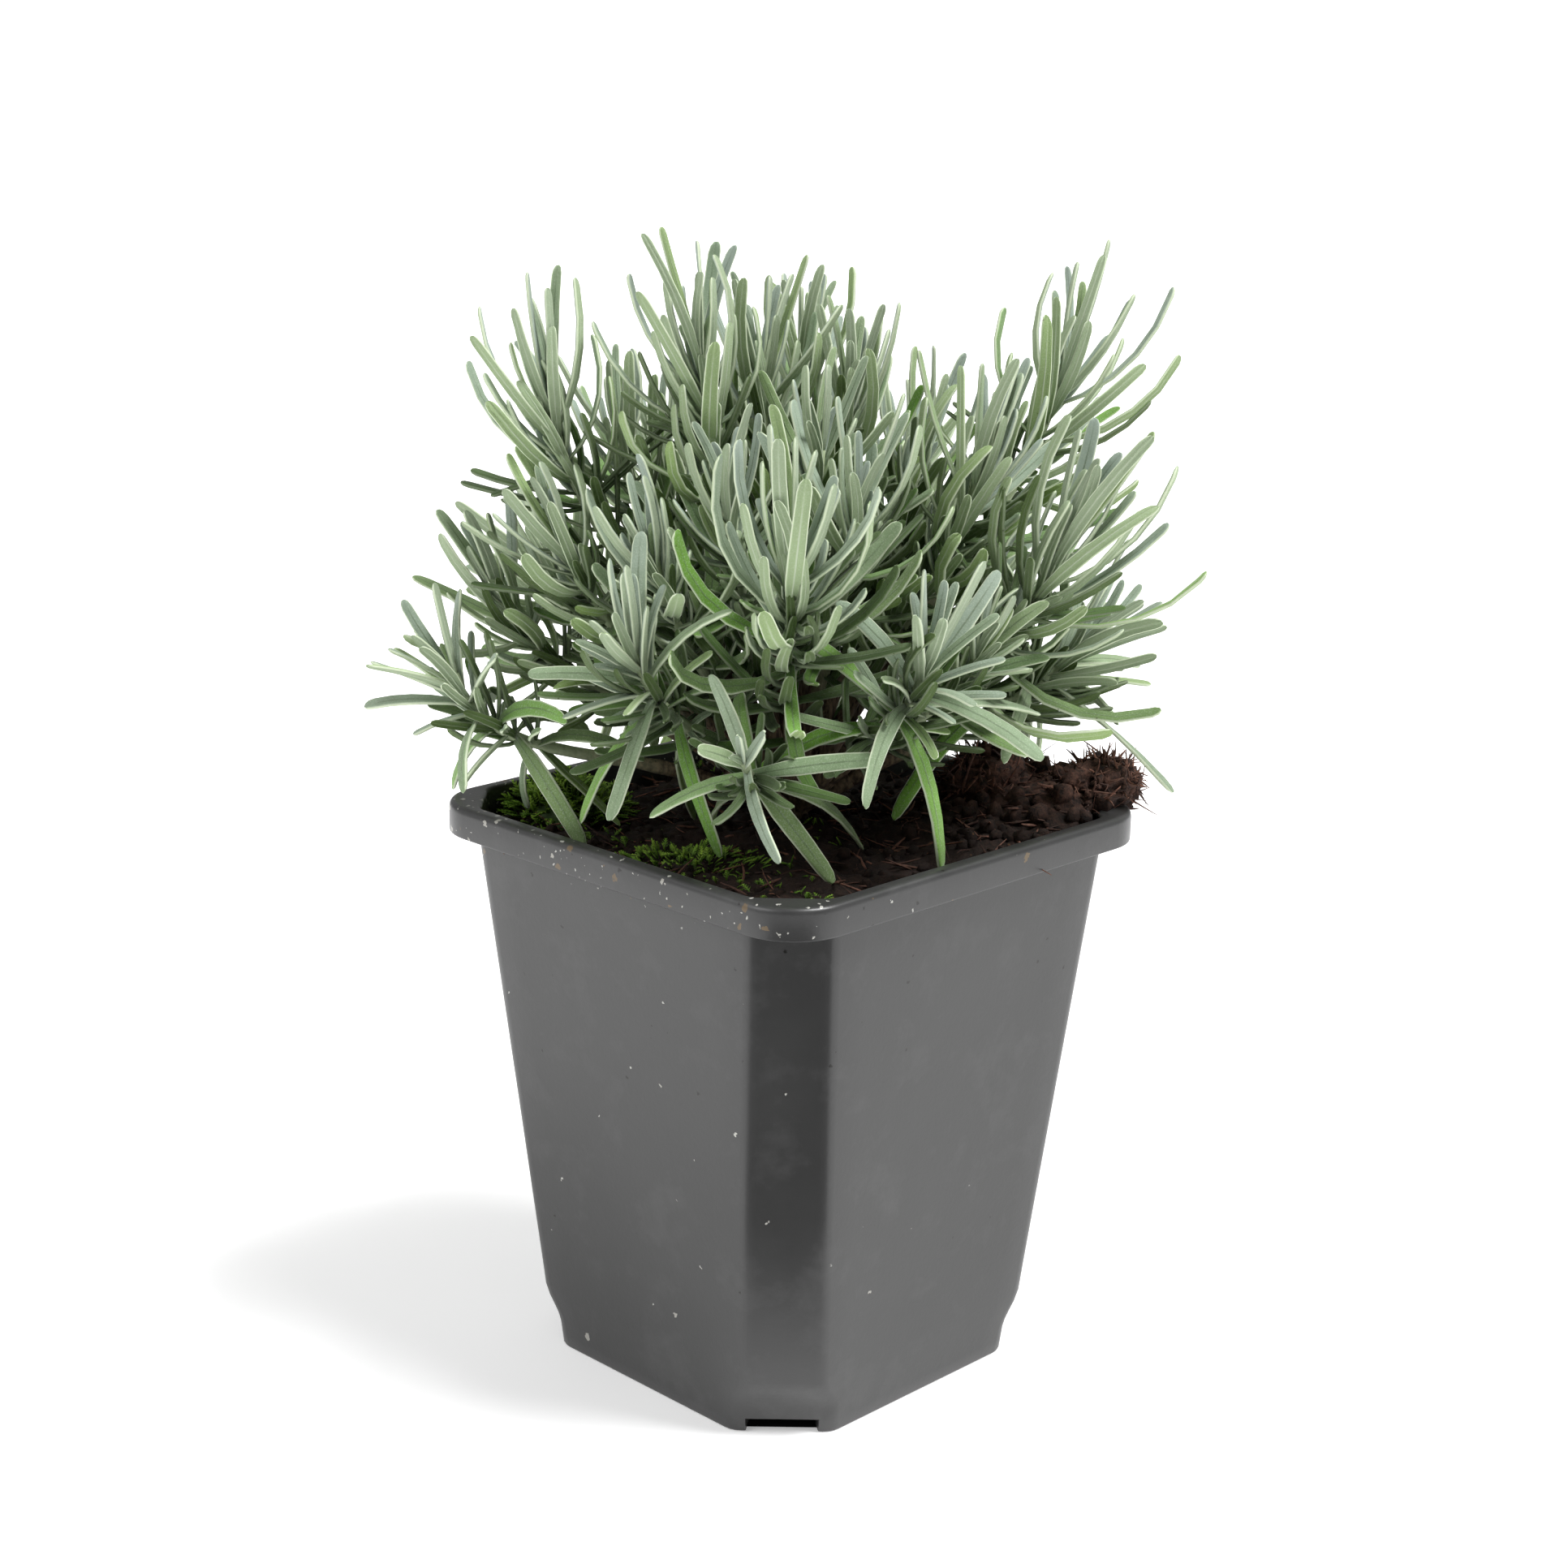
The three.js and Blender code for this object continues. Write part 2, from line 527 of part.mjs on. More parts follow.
// A round bar of the given radii from one point to another.
function bar(from, to, radiusFrom, radiusTo, sides) {
  const along = new THREE.Vector3().subVectors(to, from);
  const barAxis = new THREE.Vector3(0, 1, 0); // the way a CylinderGeometry stands
  const turn = new THREE.Quaternion().setFromUnitVectors(barAxis, along.clone().normalize());
  const geometry = new THREE.CylinderGeometry(radiusTo, radiusFrom, along.length(), sides)
    .applyQuaternion(turn)
    .translate(...new THREE.Vector3().addVectors(from, to).multiplyScalar(0.5).toArray());
  return solid(geometry);
}

function trunk(extra) {
  return bar(
    new THREE.Vector3(0, 0, TRUNK_FOOT - extra),
    new THREE.Vector3(0, 0, TRUNK_TOP + extra),
    TRUNK_RADIUS + extra,
    TRUNK_RADIUS * 0.85 + extra,
    10,
  );
}

function woodyCrown(stems) {
  const stubs = stems.map(({ base, outward }) =>
    bar(CROWN_CENTRE, base.clone().addScaledVector(outward, -GAP), STUB_RADIUS * 1.2, STUB_RADIUS, 5),
  );
  return wasm.Manifold.union([trunk(0), ...stubs]);
}

function stemSolid({ curve }) {
  const section = new THREE.Shape();
  for (let corner = 0; corner < 5; corner++) {
    const turn = (corner * 2 * Math.PI) / 5;
    const point = [STEM_RADIUS * Math.cos(turn), STEM_RADIUS * Math.sin(turn)];
    if (corner === 0) section.moveTo(...point);
    else section.lineTo(...point);
  }
  return solid(new THREE.ExtrudeGeometry(section, { steps: 5, extrudePath: curve, bevelEnabled: false }));
}

// A leaf as a solid: a flat upper face and a keel below, from a point in the stem to its tip.
function leafSolid(leaf) {
  const rings = LEAF_RINGS.map((t) => {
    const { middle, across, above } = leafAt(leaf, t);
    const half = leafWidth(leaf, t) / 2;
    const edgeHeight = LEAF_THICK * 0.25;
    return [
      middle.clone().addScaledVector(across, half).addScaledVector(above, edgeHeight),
      middle.clone().addScaledVector(across, -half).addScaledVector(above, edgeHeight),
      middle.clone().addScaledVector(above, edgeHeight - LEAF_THICK),
    ];
  });
  return solid(loft(rings, leafAt(leaf, 0).middle, leafAt(leaf, 1).middle));
}

// ---- The plant in its pot ----

const pottedLavender = new THREE.Group();
pottedLavender.name = "potted_lavender";

const { stems, grown } = growAll();
const plug = peatPlug();
pottedLavender.add(named("nursery_pot", nurseryPot(), COLOURS.pot));
pottedLavender.add(named("peat_plug", plug.subtract(trunk(GAP)), COLOURS.peat));
for (const [name, { side, front, sink, radii, seed, gnarl, of }] of Object.entries(LUMPS)) {
  const spot = place(side, front, 0);
  const centre = spot.setZ(peatHeight(spot.x, spot.y) - sink);
  const size = new THREE.Vector3(...radii);
  pottedLavender.add(named(name, lump(plug, { centre, radii: size, seed, gnarl }), COLOURS[of]));
}
pottedLavender.add(named("woody_crown", woodyCrown(stems), COLOURS.wood));
SHOOTS.forEach(({ name }, number) => {
  const body = wasm.Manifold.union([stemSolid(stems[number]), ...grown[number].map(leafSolid)]);
  pottedLavender.add(named("shoot_" + name, body, COLOURS.leaf));
});

export default pottedLavender;
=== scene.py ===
"""The looks of a young potted lavender: a moulded square nursery pot, peat with moss, and felted shoots."""

import functools
import math

import bpy
import numpy as np
from mathutils import Matrix, Vector


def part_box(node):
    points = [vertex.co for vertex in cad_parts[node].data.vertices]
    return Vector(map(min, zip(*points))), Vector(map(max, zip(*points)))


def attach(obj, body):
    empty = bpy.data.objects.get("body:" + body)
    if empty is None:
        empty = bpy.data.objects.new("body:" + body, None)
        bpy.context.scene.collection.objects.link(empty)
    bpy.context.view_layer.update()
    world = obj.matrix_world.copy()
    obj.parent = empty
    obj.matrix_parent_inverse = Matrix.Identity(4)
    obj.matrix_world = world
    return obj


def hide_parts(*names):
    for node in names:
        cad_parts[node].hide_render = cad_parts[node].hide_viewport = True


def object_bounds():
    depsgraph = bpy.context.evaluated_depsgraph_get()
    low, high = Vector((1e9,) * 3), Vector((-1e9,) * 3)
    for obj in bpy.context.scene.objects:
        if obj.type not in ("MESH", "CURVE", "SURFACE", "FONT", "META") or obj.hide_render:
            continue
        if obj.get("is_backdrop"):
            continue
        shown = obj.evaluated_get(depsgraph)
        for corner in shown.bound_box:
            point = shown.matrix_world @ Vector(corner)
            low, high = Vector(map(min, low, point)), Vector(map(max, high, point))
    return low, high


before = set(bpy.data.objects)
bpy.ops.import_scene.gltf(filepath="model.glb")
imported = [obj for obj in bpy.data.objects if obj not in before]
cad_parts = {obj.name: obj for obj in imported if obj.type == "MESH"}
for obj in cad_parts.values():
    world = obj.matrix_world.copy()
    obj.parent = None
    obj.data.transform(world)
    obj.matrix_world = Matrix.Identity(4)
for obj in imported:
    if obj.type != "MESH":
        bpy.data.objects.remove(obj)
cad_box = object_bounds()

# ---- Sizes, in millimetres; build_mesh turns them to metres ----

MM = 0.001
POT_HIGH = np.array(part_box("nursery_pot")[1]) / MM
RIM_TOP = POT_HIGH[2]
RIM_HALF = POT_HIGH[0]
RIM_CORNER = 10.6  # radius of the rim's corners
SKIRT_DROP = 5.4  # height of the rim's turned-down skirt
SKIRT_WALL = 0.8
FLANGE = 0.9  # thickness of the rim's flat top
POT_WALL = 1.0
BASE_THICK = 1.2
BASE_HALF = 33.9  # half the width across the foot
DRAFT = 0.0915  # how far each wall leans out for each mm of height
CORNER_CUT = 9.4  # each corner is cut off flat, by this much along both walls
FOOT_CUT = 12.2  # the cut is deeper at the foot
FOOT_TOP = 4.6  # the deeper cut ends here
FOOT_BLEND = 11.0  # and has eased back to the ordinary cut here
NOTCH_HIGH = 2.6  # the drain notch under each corner
NOTCH_DEEP = 11.0
GAP = 0.35  # clearance between touching pieces

PEAT_TOP = 94.5
PEAT_HEAP = 10.0  # the peat is heaped up towards the right-hand corner
CROWN_CENTRE = np.array([0.0, 0.0, 98.0])  # all stems fan out from this point
TRUNK_FOOT = 72.0
TRUNK_TOP = 101.0
TRUNK_RADIUS = 3.4
STUB_SHARE = 0.2  # the woody stub is this share of the way to a shoot's tip
STUB_RADIUS = 1.35
TOP_BUD = 1.2  # the youngest pair joins the stem this far below its end
LEAF_CLEARANCE = 1.75  # closest that two leaves' sample points may come
STEM_CLEARANCE = 2.1
RIM_CLEARANCE = 0.9
WALL_REACH = 4.5  # from the rim's edge to a leaf hanging inside the wall
PEAT_CLEARANCE = 1.4
LUMP_CLEARANCE = 2
LUMP_HEADROOM = 1.5

# How much leaves differ from one another: angles in degrees, the rest as shares.
TURN_SPREAD = 11
OPEN_SPREAD = 9
CURL_SPREAD = 26
ROLL_SPREAD = 20
TWIST_SPREAD = 35
LENGTH_SPREAD = 0.13
WIDTH_SPREAD = 0.15
SWEEP_SPREAD = 0.3

# The small leaves that fill the bush between the grown pairs.
SMALL_CLEARANCE = 1.0
INNER_PAIRS = 5  # shaded pairs below the ones that the frame has
STRAY_LEAVES = 22  # odd leaves inside the bush, to each stem
STRAY_ROOM = 0.55  # the share of the clearance that they keep
FEW_PAIRS = 5  # a shoot with so few pairs has no young leaves in their axils
SHADE_FLOOR = 111.0  # below this height the shaded leaves have died away
# Ages above 1 also paint these leaves dark green in the leaf material: painted shade.
INNER_AGE = 1.2  # grown pairs go from 0 at the tip to 1 at the lowest; shaded ones are older
STRAY_AGE = 1.3

SIDE = np.array([1.0, 1.0, 0.0]) / math.sqrt(2)  # to the pot's right-hand corner
FRONT = np.array([1.0, -1.0, 0.0]) / math.sqrt(2)  # to the pot's front corner
UP = np.array([0.0, 0.0, 1.0])

# Name; tip [side, front, height]; rise; longest leaf; pairs of leaves; spacing; turn of the
# youngest pair; opening and curl of the youngest and the oldest pair, in degrees.
SHOOTS = [
    ("top_centre", (-16, 0, 176), 0.75, 28, 9, 1.8, 10, (11, 110), (10, 110)),
    ("top_left", (-42, -5, 169), 0.7, 25, 10, 1.8, 20, (13, 114), (14, 110)),
    ("top_left_inner", (-30, -14, 162), 0.7, 20, 7, 2.0, 60, (15, 102), (10, 84)),
    ("top_middle", (-6, -12, 173), 0.5, 25, 8, 1.9, 35, (13, 102), (10, 77)),
    ("top_middle_back", (1, -27, 172), 0.5, 25, 8, 2.0, 0, (15, 102), (10, 80)),
    ("top_middle_right", (9, -14, 167), 0.35, 25, 8, 2.0, 50, (13, 80), (6, 66)),
    ("top_right", (48, -35, 171), 0.5, 29, 8, 2.2, 5, (13, 108), (12, 96)),
    ("right_centre", (22, -20, 159), 0.8, 22, 7, 2.1, 15, (13, 104), (14, 96)),
    ("right_upper", (31, -4, 158), 0.6, 26, 8, 2.0, 30, (13, 100), (10, 77)),
    ("right_big", (44, 5, 145), 0.6, 32, 9, 1.9, 0, (13, 116), (10, 106)),
    ("right_low", (49, -10, 125), 0.3, 27, 6, 2.4, 20, (14, 116), (4, -45)),
    ("right_inner", (31, 15, 132), 0.6, 18, 6, 2.1, 40, (12, 76), (2, 40)),
    ("front_star", (-1, 35, 149), 0.55, 29, 9, 1.5, 8, (8, 116), (10, 92)),
    ("front_right", (21, 30, 132), 0.6, 23, 7, 2.0, 25, (10, 116), (10, -52)),
    ("front_low", (-8, 44, 119), 0.15, 20, 5, 2.4, 2, (30, 116), (4, -45)),
    ("front_left", (-26, 26, 132), 0.55, 23, 7, 2.0, 15, (10, 116), (10, -52)),
    ("left_low", (-57, 8, 124), 0.75, 22, 7, 2.0, 25, (14, 116), (14, -52)),
    ("left_middle", (-51, -6, 135), 0.55, 21, 7, 2.1, 50, (17, 116), (16, 88)),
    ("left_inner", (-39, 3, 146), 0.6, 22, 7, 2.1, 10, (15, 114), (12, 84)),
    ("left_front_inner", (-23, 15, 145), 0.55, 22, 8, 2.0, 35, (15, 114), (10, 77)),
    ("centre_front", (-11, 12, 153), 0.6, 22, 8, 2.1, 60, (15, 111), (10, 77)),
    ("centre_right", (10, 14, 155), 0.5, 24, 8, 2.1, 15, (13, 112), (10, 77)),
    ("centre_top", (4, 3, 162), 0.7, 21, 7, 2.2, 45, (13, 102), (10, 77)),
    ("back_left_top", (-24, -36, 155), 0.6, 24, 8, 2.1, 10, (13, 110), (10, 84)),
    ("back_top", (-4, -45, 158), 0.6, 25, 8, 2.1, 40, (13, 110), (10, 84)),
    ("back_right_top", (20, -46, 151), 0.55, 23, 7, 2.2, 70, (15, 110), (10, 77)),
    ("back_left", (-44, -28, 136), 0.5, 22, 7, 2.2, 35, (15, 108), (12, 62)),
    ("back_left_low", (-30, -48, 121), 0.45, 22, 6, 2.2, 5, (14, 116), (6, -45)),
    ("back", (-7, -56, 131), 0.5, 24, 7, 2.1, 15, (10, 96), (6, 40)),
    ("back_low", (12, -54, 117), 0.3, 21, 5, 2.4, 30, (20, 116), (4, -45)),
    ("back_right", (36, -42, 132), 0.5, 23, 7, 2.1, 20, (12, 94), (8, 40)),
    ("back_right_low", (50, -26, 122), 0.4, 22, 6, 2.2, 60, (14, 116), (4, -45)),
]

# Lumps that lie on the peat: side, front, how far the middle sinks in, radii.
LUMPS = {
    "moss_tuft_left": (-40, -10, 0.5, (11, 9, 6)),
    "moss_tuft_front": (-17, 20, 1, (13, 6, 3.5)),
    "peat_clod_right": (54, -5, 0.5, (7, 10, 6)),
    "peat_clod_inner": (35, -7, 1, (9, 9, 8)),
}


# ---- Small arithmetic ----


def unit(v):
    return v / np.linalg.norm(v, axis=-1, keepdims=True)


def place(side, front, height):
    return side * SIDE + front * FRONT + height * UP


def smoothstep(x, low, high):
    share = np.clip((x - low) / (high - low), 0, 1)
    return share * share * (3 - 2 * share)


def chance(a, b):
    """A number from -1 to 1 that looks random but is the same each time: the fraction of a large sine."""
    swing = np.sin(a * 12.9898 + b * 78.233) * 43758.5453
    return (swing - np.floor(swing)) * 2 - 1


def value_noise(points, size, seed):
    """Smooth noise from -1 to 1 at points (n, 3): random values on a cubic lattice of the given
    size, blended along each axis by smoothstep."""
    table = np.random.default_rng(seed).uniform(-1, 1, (32, 32, 32))
    cell = np.floor(points / size).astype(int)
    share = points / size - cell
    share = share * share * (3 - 2 * share)
    total = np.zeros(len(points))
    for corner in np.ndindex(2, 2, 2):
        index = (cell + corner) % 32
        weight = np.prod(np.where(np.array(corner) == 1, share, 1 - share), axis=1)
        total += weight * table[index[:, 0], index[:, 1], index[:, 2]]
    return total


# ---- Growth: the same rules that place the frame's shoots ----


def peat_height(x, y):
    """Level peat, a little uneven, heaped to the right and around the crown."""
    side = (x + y) / math.sqrt(2)
    front = (x - y) / math.sqrt(2)
    heap = np.exp(-((side - 44) ** 2 + (front + 8) ** 2) / (2 * 14**2))
    collar = np.exp(-(x * x + y * y) / (2 * 12**2))
    rough = 0.5 * np.sin(x / 5 + 1) * np.cos(y / 6) + 0.3 * np.sin(x / 2.7 - y / 3.1)
    return PEAT_TOP + PEAT_HEAP * heap + 2 * collar + rough


class Stem:
    """A cubic curve from the end of a woody stub on the crown to the shoot's tip."""

    def __init__(self, shoot):
        _, tip, rise, *_ = shoot
        tip = place(*tip)
        away = tip - CROWN_CENTRE
        length = np.linalg.norm(away)
        self.outward = away / length
        self.base = CROWN_CENTRE + away * STUB_SHARE
        self.reach = length * (1 - STUB_SHARE)
        axis = unit(self.outward * (1 - rise) + UP * rise)
        self.points = np.array([
            self.base,
            self.base + self.outward * self.reach * 0.4,
            tip - axis * self.reach * 0.35,
            tip,
        ])

    def at(self, t):
        t = np.asarray(t, float)[..., None]
        a, b, c, d = self.points
        return a * (1 - t) ** 3 + 3 * b * t * (1 - t) ** 2 + 3 * c * t * t * (1 - t) + d * t**3

    def along(self, t):
        t = np.asarray(t, float)[..., None]
        a, b, c, d = self.points
        return unit((b - a) * (1 - t) ** 2 + 2 * (c - b) * t * (1 - t) + (d - c) * t * t)


def blade_share(t):
    """Narrower at the stem, nearly even from a third of the length on."""
    return (0.55 + 0.45 * smoothstep(t, 0, 0.4)) * (1 - 0.14 * smoothstep(t, 0.55, 0.9))


def leaf_width(leaf, t):
    """The room that a leaf needs: as wide as its blade, drawn in over the last eighth."""
    end = np.sqrt(np.clip(1 - (np.clip(t - 0.87, 0, None) / 0.13) ** 2, 0, 1))
    return leaf["width"] * blade_share(t) * end


def leaf_frames(leaf, t):
    """The middle line of a leaf at shares t of its length, with the directions across and above it.
    In the plane of the stem and the leaf the line is an arc of a circle that opens from the stem
    by an angle and turns back by curl; droop lowers it and sweep bends it sideways, both by the
    square of t. It is rolled about its line at the stem, and twisted further with t."""
    axis, out, side = leaf["axis"], leaf["out"], leaf["side"]
    t = np.asarray(t, float)[..., None]
    now = leaf["open"] - leaf["curl"] * t
    along_axis = leaf["length"] * (np.sin(leaf["open"]) - np.sin(now)) / leaf["curl"]
    along_out = leaf["length"] * (np.cos(now) - np.cos(leaf["open"])) / leaf["curl"]
    middle = leaf["base"] + axis * along_axis + out * along_out
    middle = middle + leaf["length"] * t * t * (leaf["sweep"] * side - leaf["droop"] * UP)
    face = axis * np.sin(now) - out * np.cos(now)
    roll = leaf["roll"] + leaf["twist"] * t
    across = side * np.cos(roll) + face * np.sin(roll)
    above = face * np.cos(roll) - side * np.sin(roll)
    return middle, across, above


SAMPLE_STEPS = 20
OWN_FOOT = 6  # the samples at a leaf's foot, which may touch anything
SHARED_FOOT = 24  # the samples at its foot that may touch leaves of the same shoot
MIDDLE = 31  # the sample in the middle of a leaf
MOST_LEAVES = 3000


def leaf_samples(leaf):
    """Points over a leaf, three across at each step, for the clearance test."""
    t = np.arange(SAMPLE_STEPS + 1) / SAMPLE_STEPS
    middle, across, _ = leaf_frames(leaf, t)
    reach = (leaf_width(leaf, t) * 0.42)[:, None, None]
    return (middle[:, None] + across[:, None] * reach * np.array([-1, 0, 1])[:, None]).reshape(-1, 3)


def near_any(samples, others, clearance):
    if not len(others):
        return False
    gaps = (samples**2).sum(1)[:, None] + (others**2).sum(1) - 2 * samples @ others.T
    return bool(gaps.min() < clearance * clearance)


def touches_pot(p):
    x, y, z = p.T
    reach = np.maximum(abs(x), abs(y))
    low = z < peat_height(x, y) + PEAT_CLEARANCE
    inside = np.where(z > RIM_TOP + RIM_CLEARANCE, low, (reach > RIM_HALF - WALL_REACH) | low)
    return bool((inside & (reach <= RIM_HALF + RIM_CLEARANCE)).any())


def touches_lump(p):
    for side, front, sink, radii in LUMPS.values():
        offset = p - place(side, front, 0)
        wide, deep = radii[0] + LUMP_CLEARANCE, radii[1] + LUMP_CLEARANCE
        reach = np.hypot(offset @ SIDE / wide, offset @ FRONT / deep)
        top = peat_height(p[:, 0], p[:, 1]) - sink
        top += (radii[2] + LUMP_HEADROOM) * np.sqrt(np.clip(1 - reach * reach, 0, None))
        if ((reach < 1) & (p[:, 2] < top)).any():
            return True
    return False


# Ways to move a leaf that has no room, in the order they are tried: turn about the stem and
# change of opening, in degrees, and share of the length.
TRIES = [
    (0, 0, 1), (16, 0, 1), (-16, 0, 1), (0, 12, 1), (0, -12, 1), (26, 10, 1), (-26, 10, 1),
    (26, -10, 0.9), (-26, -10, 0.9), (40, 0, 0.85), (-40, 0, 0.85), (0, 24, 0.8), (0, -20, 0.8),
    (20, 20, 0.7), (-20, 20, 0.7), (20, -16, 0.65), (-20, -16, 0.65), (0, 0, 0.55),
]
YOUNG_LENGTHS = (0.8, 0.92, 0.98)


def make_leaf(shoot, number, stem, pair, which, attempt):
    _, _, _, longest, pairs, spacing, turn, opens, curls = shoot
    turn_by, open_by, share = attempt
    seed = number * 31 + pair * 2 + which
    age = min(1, pair / (pairs - 1))
    at = 1 - (TOP_BUD + spacing * pair * (1 + 0.11 * pair)) / stem.reach
    axis = stem.along(at)
    right = unit(np.cross(axis, FRONT))
    ahead = np.cross(right, axis)
    angle = math.radians(turn + 90 * pair + 180 * which + TURN_SPREAD * chance(seed, 1) + turn_by)
    out = right * math.cos(angle) + ahead * math.sin(angle)
    opened = opens[0] + (opens[1] - opens[0]) * age**0.8 + OPEN_SPREAD * chance(seed, 2) + open_by
    bent = curls[0] + (curls[1] - curls[0]) * age**0.65
    curl = bent + CURL_SPREAD * chance(seed, 3) * age**0.5
    young = YOUNG_LENGTHS[pair] if pair < len(YOUNG_LENGTHS) else 1
    length = longest * young * (1 + LENGTH_SPREAD * chance(seed, 4)) * share
    high = smoothstep(shoot[1][2], 125, 160)  # 0 for low shoots, 1 for high ones
    breadth = (0.9 + 0.25 * age) * (1.5 - 0.5 * high)
    return {
        "base": stem.at(at),
        "axis": axis,
        "out": out,
        "side": np.cross(axis, out),
        "open": math.radians(max(4, opened)),
        "curl": math.radians(1 if abs(curl) < 1 else curl),
        "length": length,
        "width": (1.1 + 0.042 * length) * breadth * (1 + WIDTH_SPREAD * chance(seed, 5)),
        "sweep": SWEEP_SPREAD * chance(seed, 6),
        "droop": (0.5 - 0.44 * high) * age * age,
        "roll": math.radians(ROLL_SPREAD * chance(seed, 7)),
        "twist": math.radians(TWIST_SPREAD * chance(seed, 9)),
        "age": age,
        "tint": chance(seed, 8),
        "at": at,
        "seed": seed,
    }


class Bush:
    """The shoots' stems and leaves, and the points that they fill."""

    def __init__(self):
        self.stems = [Stem(shoot) for shoot in SHOOTS]
        self.leaves = [[] for _ in SHOOTS]
        stub = np.linspace(0, 1, 11)[:, None]
        points = [
            np.concatenate([
                stem.at(np.linspace(0, 1, round(stem.reach / 1.5) + 1)),
                CROWN_CENTRE + (stem.base - CROWN_CENTRE) * stub,
            ])
            for stem in self.stems
        ]
        self.stem_points = np.concatenate(points)
        self.stem_owners = np.repeat(np.arange(len(points)), [len(p) for p in points])
        self.count = 0
        self.owners = np.zeros(MOST_LEAVES, int)
        self.lengths = np.zeros(MOST_LEAVES)
        self.samples = np.zeros((MOST_LEAVES, 3 * (SAMPLE_STEPS + 1), 3))

    def has_room(self, number, leaf, samples, own_clearance, clearance):
        free = samples[OWN_FOOT:]
        if touches_pot(free) or touches_lump(free):
            return False
        samples_so_far = self.samples[: self.count]
        away = np.linalg.norm(samples_so_far[:, MIDDLE] - samples[MIDDLE], axis=1)
        close = away < (self.lengths[: self.count] + leaf["length"]) * 0.75 + 4
        own = self.owners[: self.count] == number
        same_shoot = samples_so_far[close & own][:, SHARED_FOOT:].reshape(-1, 3)
        if near_any(samples[SHARED_FOOT:], same_shoot, own_clearance):
            return False
        if near_any(samples, samples_so_far[close & ~own].reshape(-1, 3), clearance):
            return False
        return not near_any(samples, self.stem_points[self.stem_owners != number], STEM_CLEARANCE)

    def add(self, number, leaf, samples):
        self.owners[self.count] = number
        self.lengths[self.count] = leaf["length"]
        self.samples[self.count] = samples
        self.count += 1
        self.leaves[number].append(leaf)

    def grow(self):
        for pair in range(max(shoot[4] for shoot in SHOOTS)):
            for number, shoot in enumerate(SHOOTS):
                if pair >= shoot[4]:
                    continue
                for which in (0, 1):
                    self.grow_leaf(number, shoot, pair, which)

    def grow_leaf(self, number, shoot, pair, which):
        for attempt in TRIES:
            leaf = make_leaf(shoot, number, self.stems[number], pair, which, attempt)
            samples = leaf_samples(leaf)
            if self.has_room(number, leaf, samples, LEAF_CLEARANCE * 0.7, LEAF_CLEARANCE):
                self.add(number, leaf, samples)
                return

    def fill_in(self):
        """The bud at each tip and the small young leaves in the axils of the grown pairs."""
        for number, (shoot, stem) in enumerate(zip(SHOOTS, self.stems)):
            for rank in range(4):
                self.try_small(number, bud_leaf(shoot, number, stem, rank))
        for number, shoot in enumerate(SHOOTS):
            for pair in range(shoot[4], shoot[4] + INNER_PAIRS):
                for which in (0, 1):
                    self.try_small(number, inner_leaf(shoot, number, self.stems[number], pair, which))
        for rank in range(STRAY_LEAVES):
            for number, shoot in enumerate(SHOOTS):
                self.try_small(number, stray_leaf(shoot, number, self.stems[number], rank), STRAY_ROOM)
        for number, shoot in enumerate(SHOOTS):
            for leaf in list(self.leaves[number]):
                if "small" in leaf or leaf["age"] < 0.1 or shoot[4] <= FEW_PAIRS:
                    continue
                for rank in (0, 1):
                    self.try_small(number, axil_leaf(leaf, rank))

    def try_small(self, number, choices, share=1.0):
        clearance = SMALL_CLEARANCE * share
        for leaf in choices:
            samples = leaf_samples(leaf)
            if leaf["age"] > 1 and samples[:, 2].min() < SHADE_FLOOR:
                continue
            if self.has_room(number, leaf, samples, clearance * 0.7, clearance):
                self.add(number, leaf, samples)
                return


def small_leaf(base, axis, out, opened, curl, length, age, seed):
    return {
        "base": base,
        "axis": axis,
        "out": out,
        "side": np.cross(axis, out),
        "open": math.radians(max(4, opened)),
        "curl": math.radians(1 if abs(curl) < 1 else curl),
        "length": length,
        "width": (1.15 + 0.042 * length) * (1 + 0.12 * chance(seed, 5)),
        "sweep": 0.22 * chance(seed, 6),
        "droop": 0.0,
        "roll": math.radians(15 * chance(seed, 7)),
        "twist": math.radians(30 * chance(seed, 9)),
        "age": age,
        "tint": chance(seed, 8),
        "small": True,
    }


def turned(out, axis, degrees):
    angle = math.radians(degrees)
    return out * math.cos(angle) + np.cross(axis, out) * math.sin(angle)


def bud_leaf(shoot, number, stem, rank):
    """Four short leaves close around a shoot's tip, half way between the directions of its pairs."""
    _, _, _, longest, _, _, turn, *_ = shoot
    seed = 5000 + number * 7 + rank
    at = 1 - 0.7 / stem.reach
    axis = stem.along(at)
    right = unit(np.cross(axis, FRONT))
    out = turned(right, axis, turn + 45 + 90 * rank)
    for length in (0.62, 0.45, 0.3):
        length *= longest * (1 + 0.12 * chance(seed, 4))
        yield small_leaf(stem.at(at), axis, out, 5 + 3 * chance(seed, 2), 3, length, 0, seed)


def inner_leaf(shoot, number, stem, pair, which):
    """A leaf of the shaded pairs further down the stem."""
    spacing = shoot[5]
    if TOP_BUD + spacing * pair * (1 + 0.11 * pair) > stem.reach * 0.97:
        return
    for turn_by, open_by, share in TRIES:
        leaf = make_leaf(shoot, number, stem, pair, which, (turn_by, open_by, share * 0.85))
        yield {**leaf, "age": INNER_AGE, "small": True}


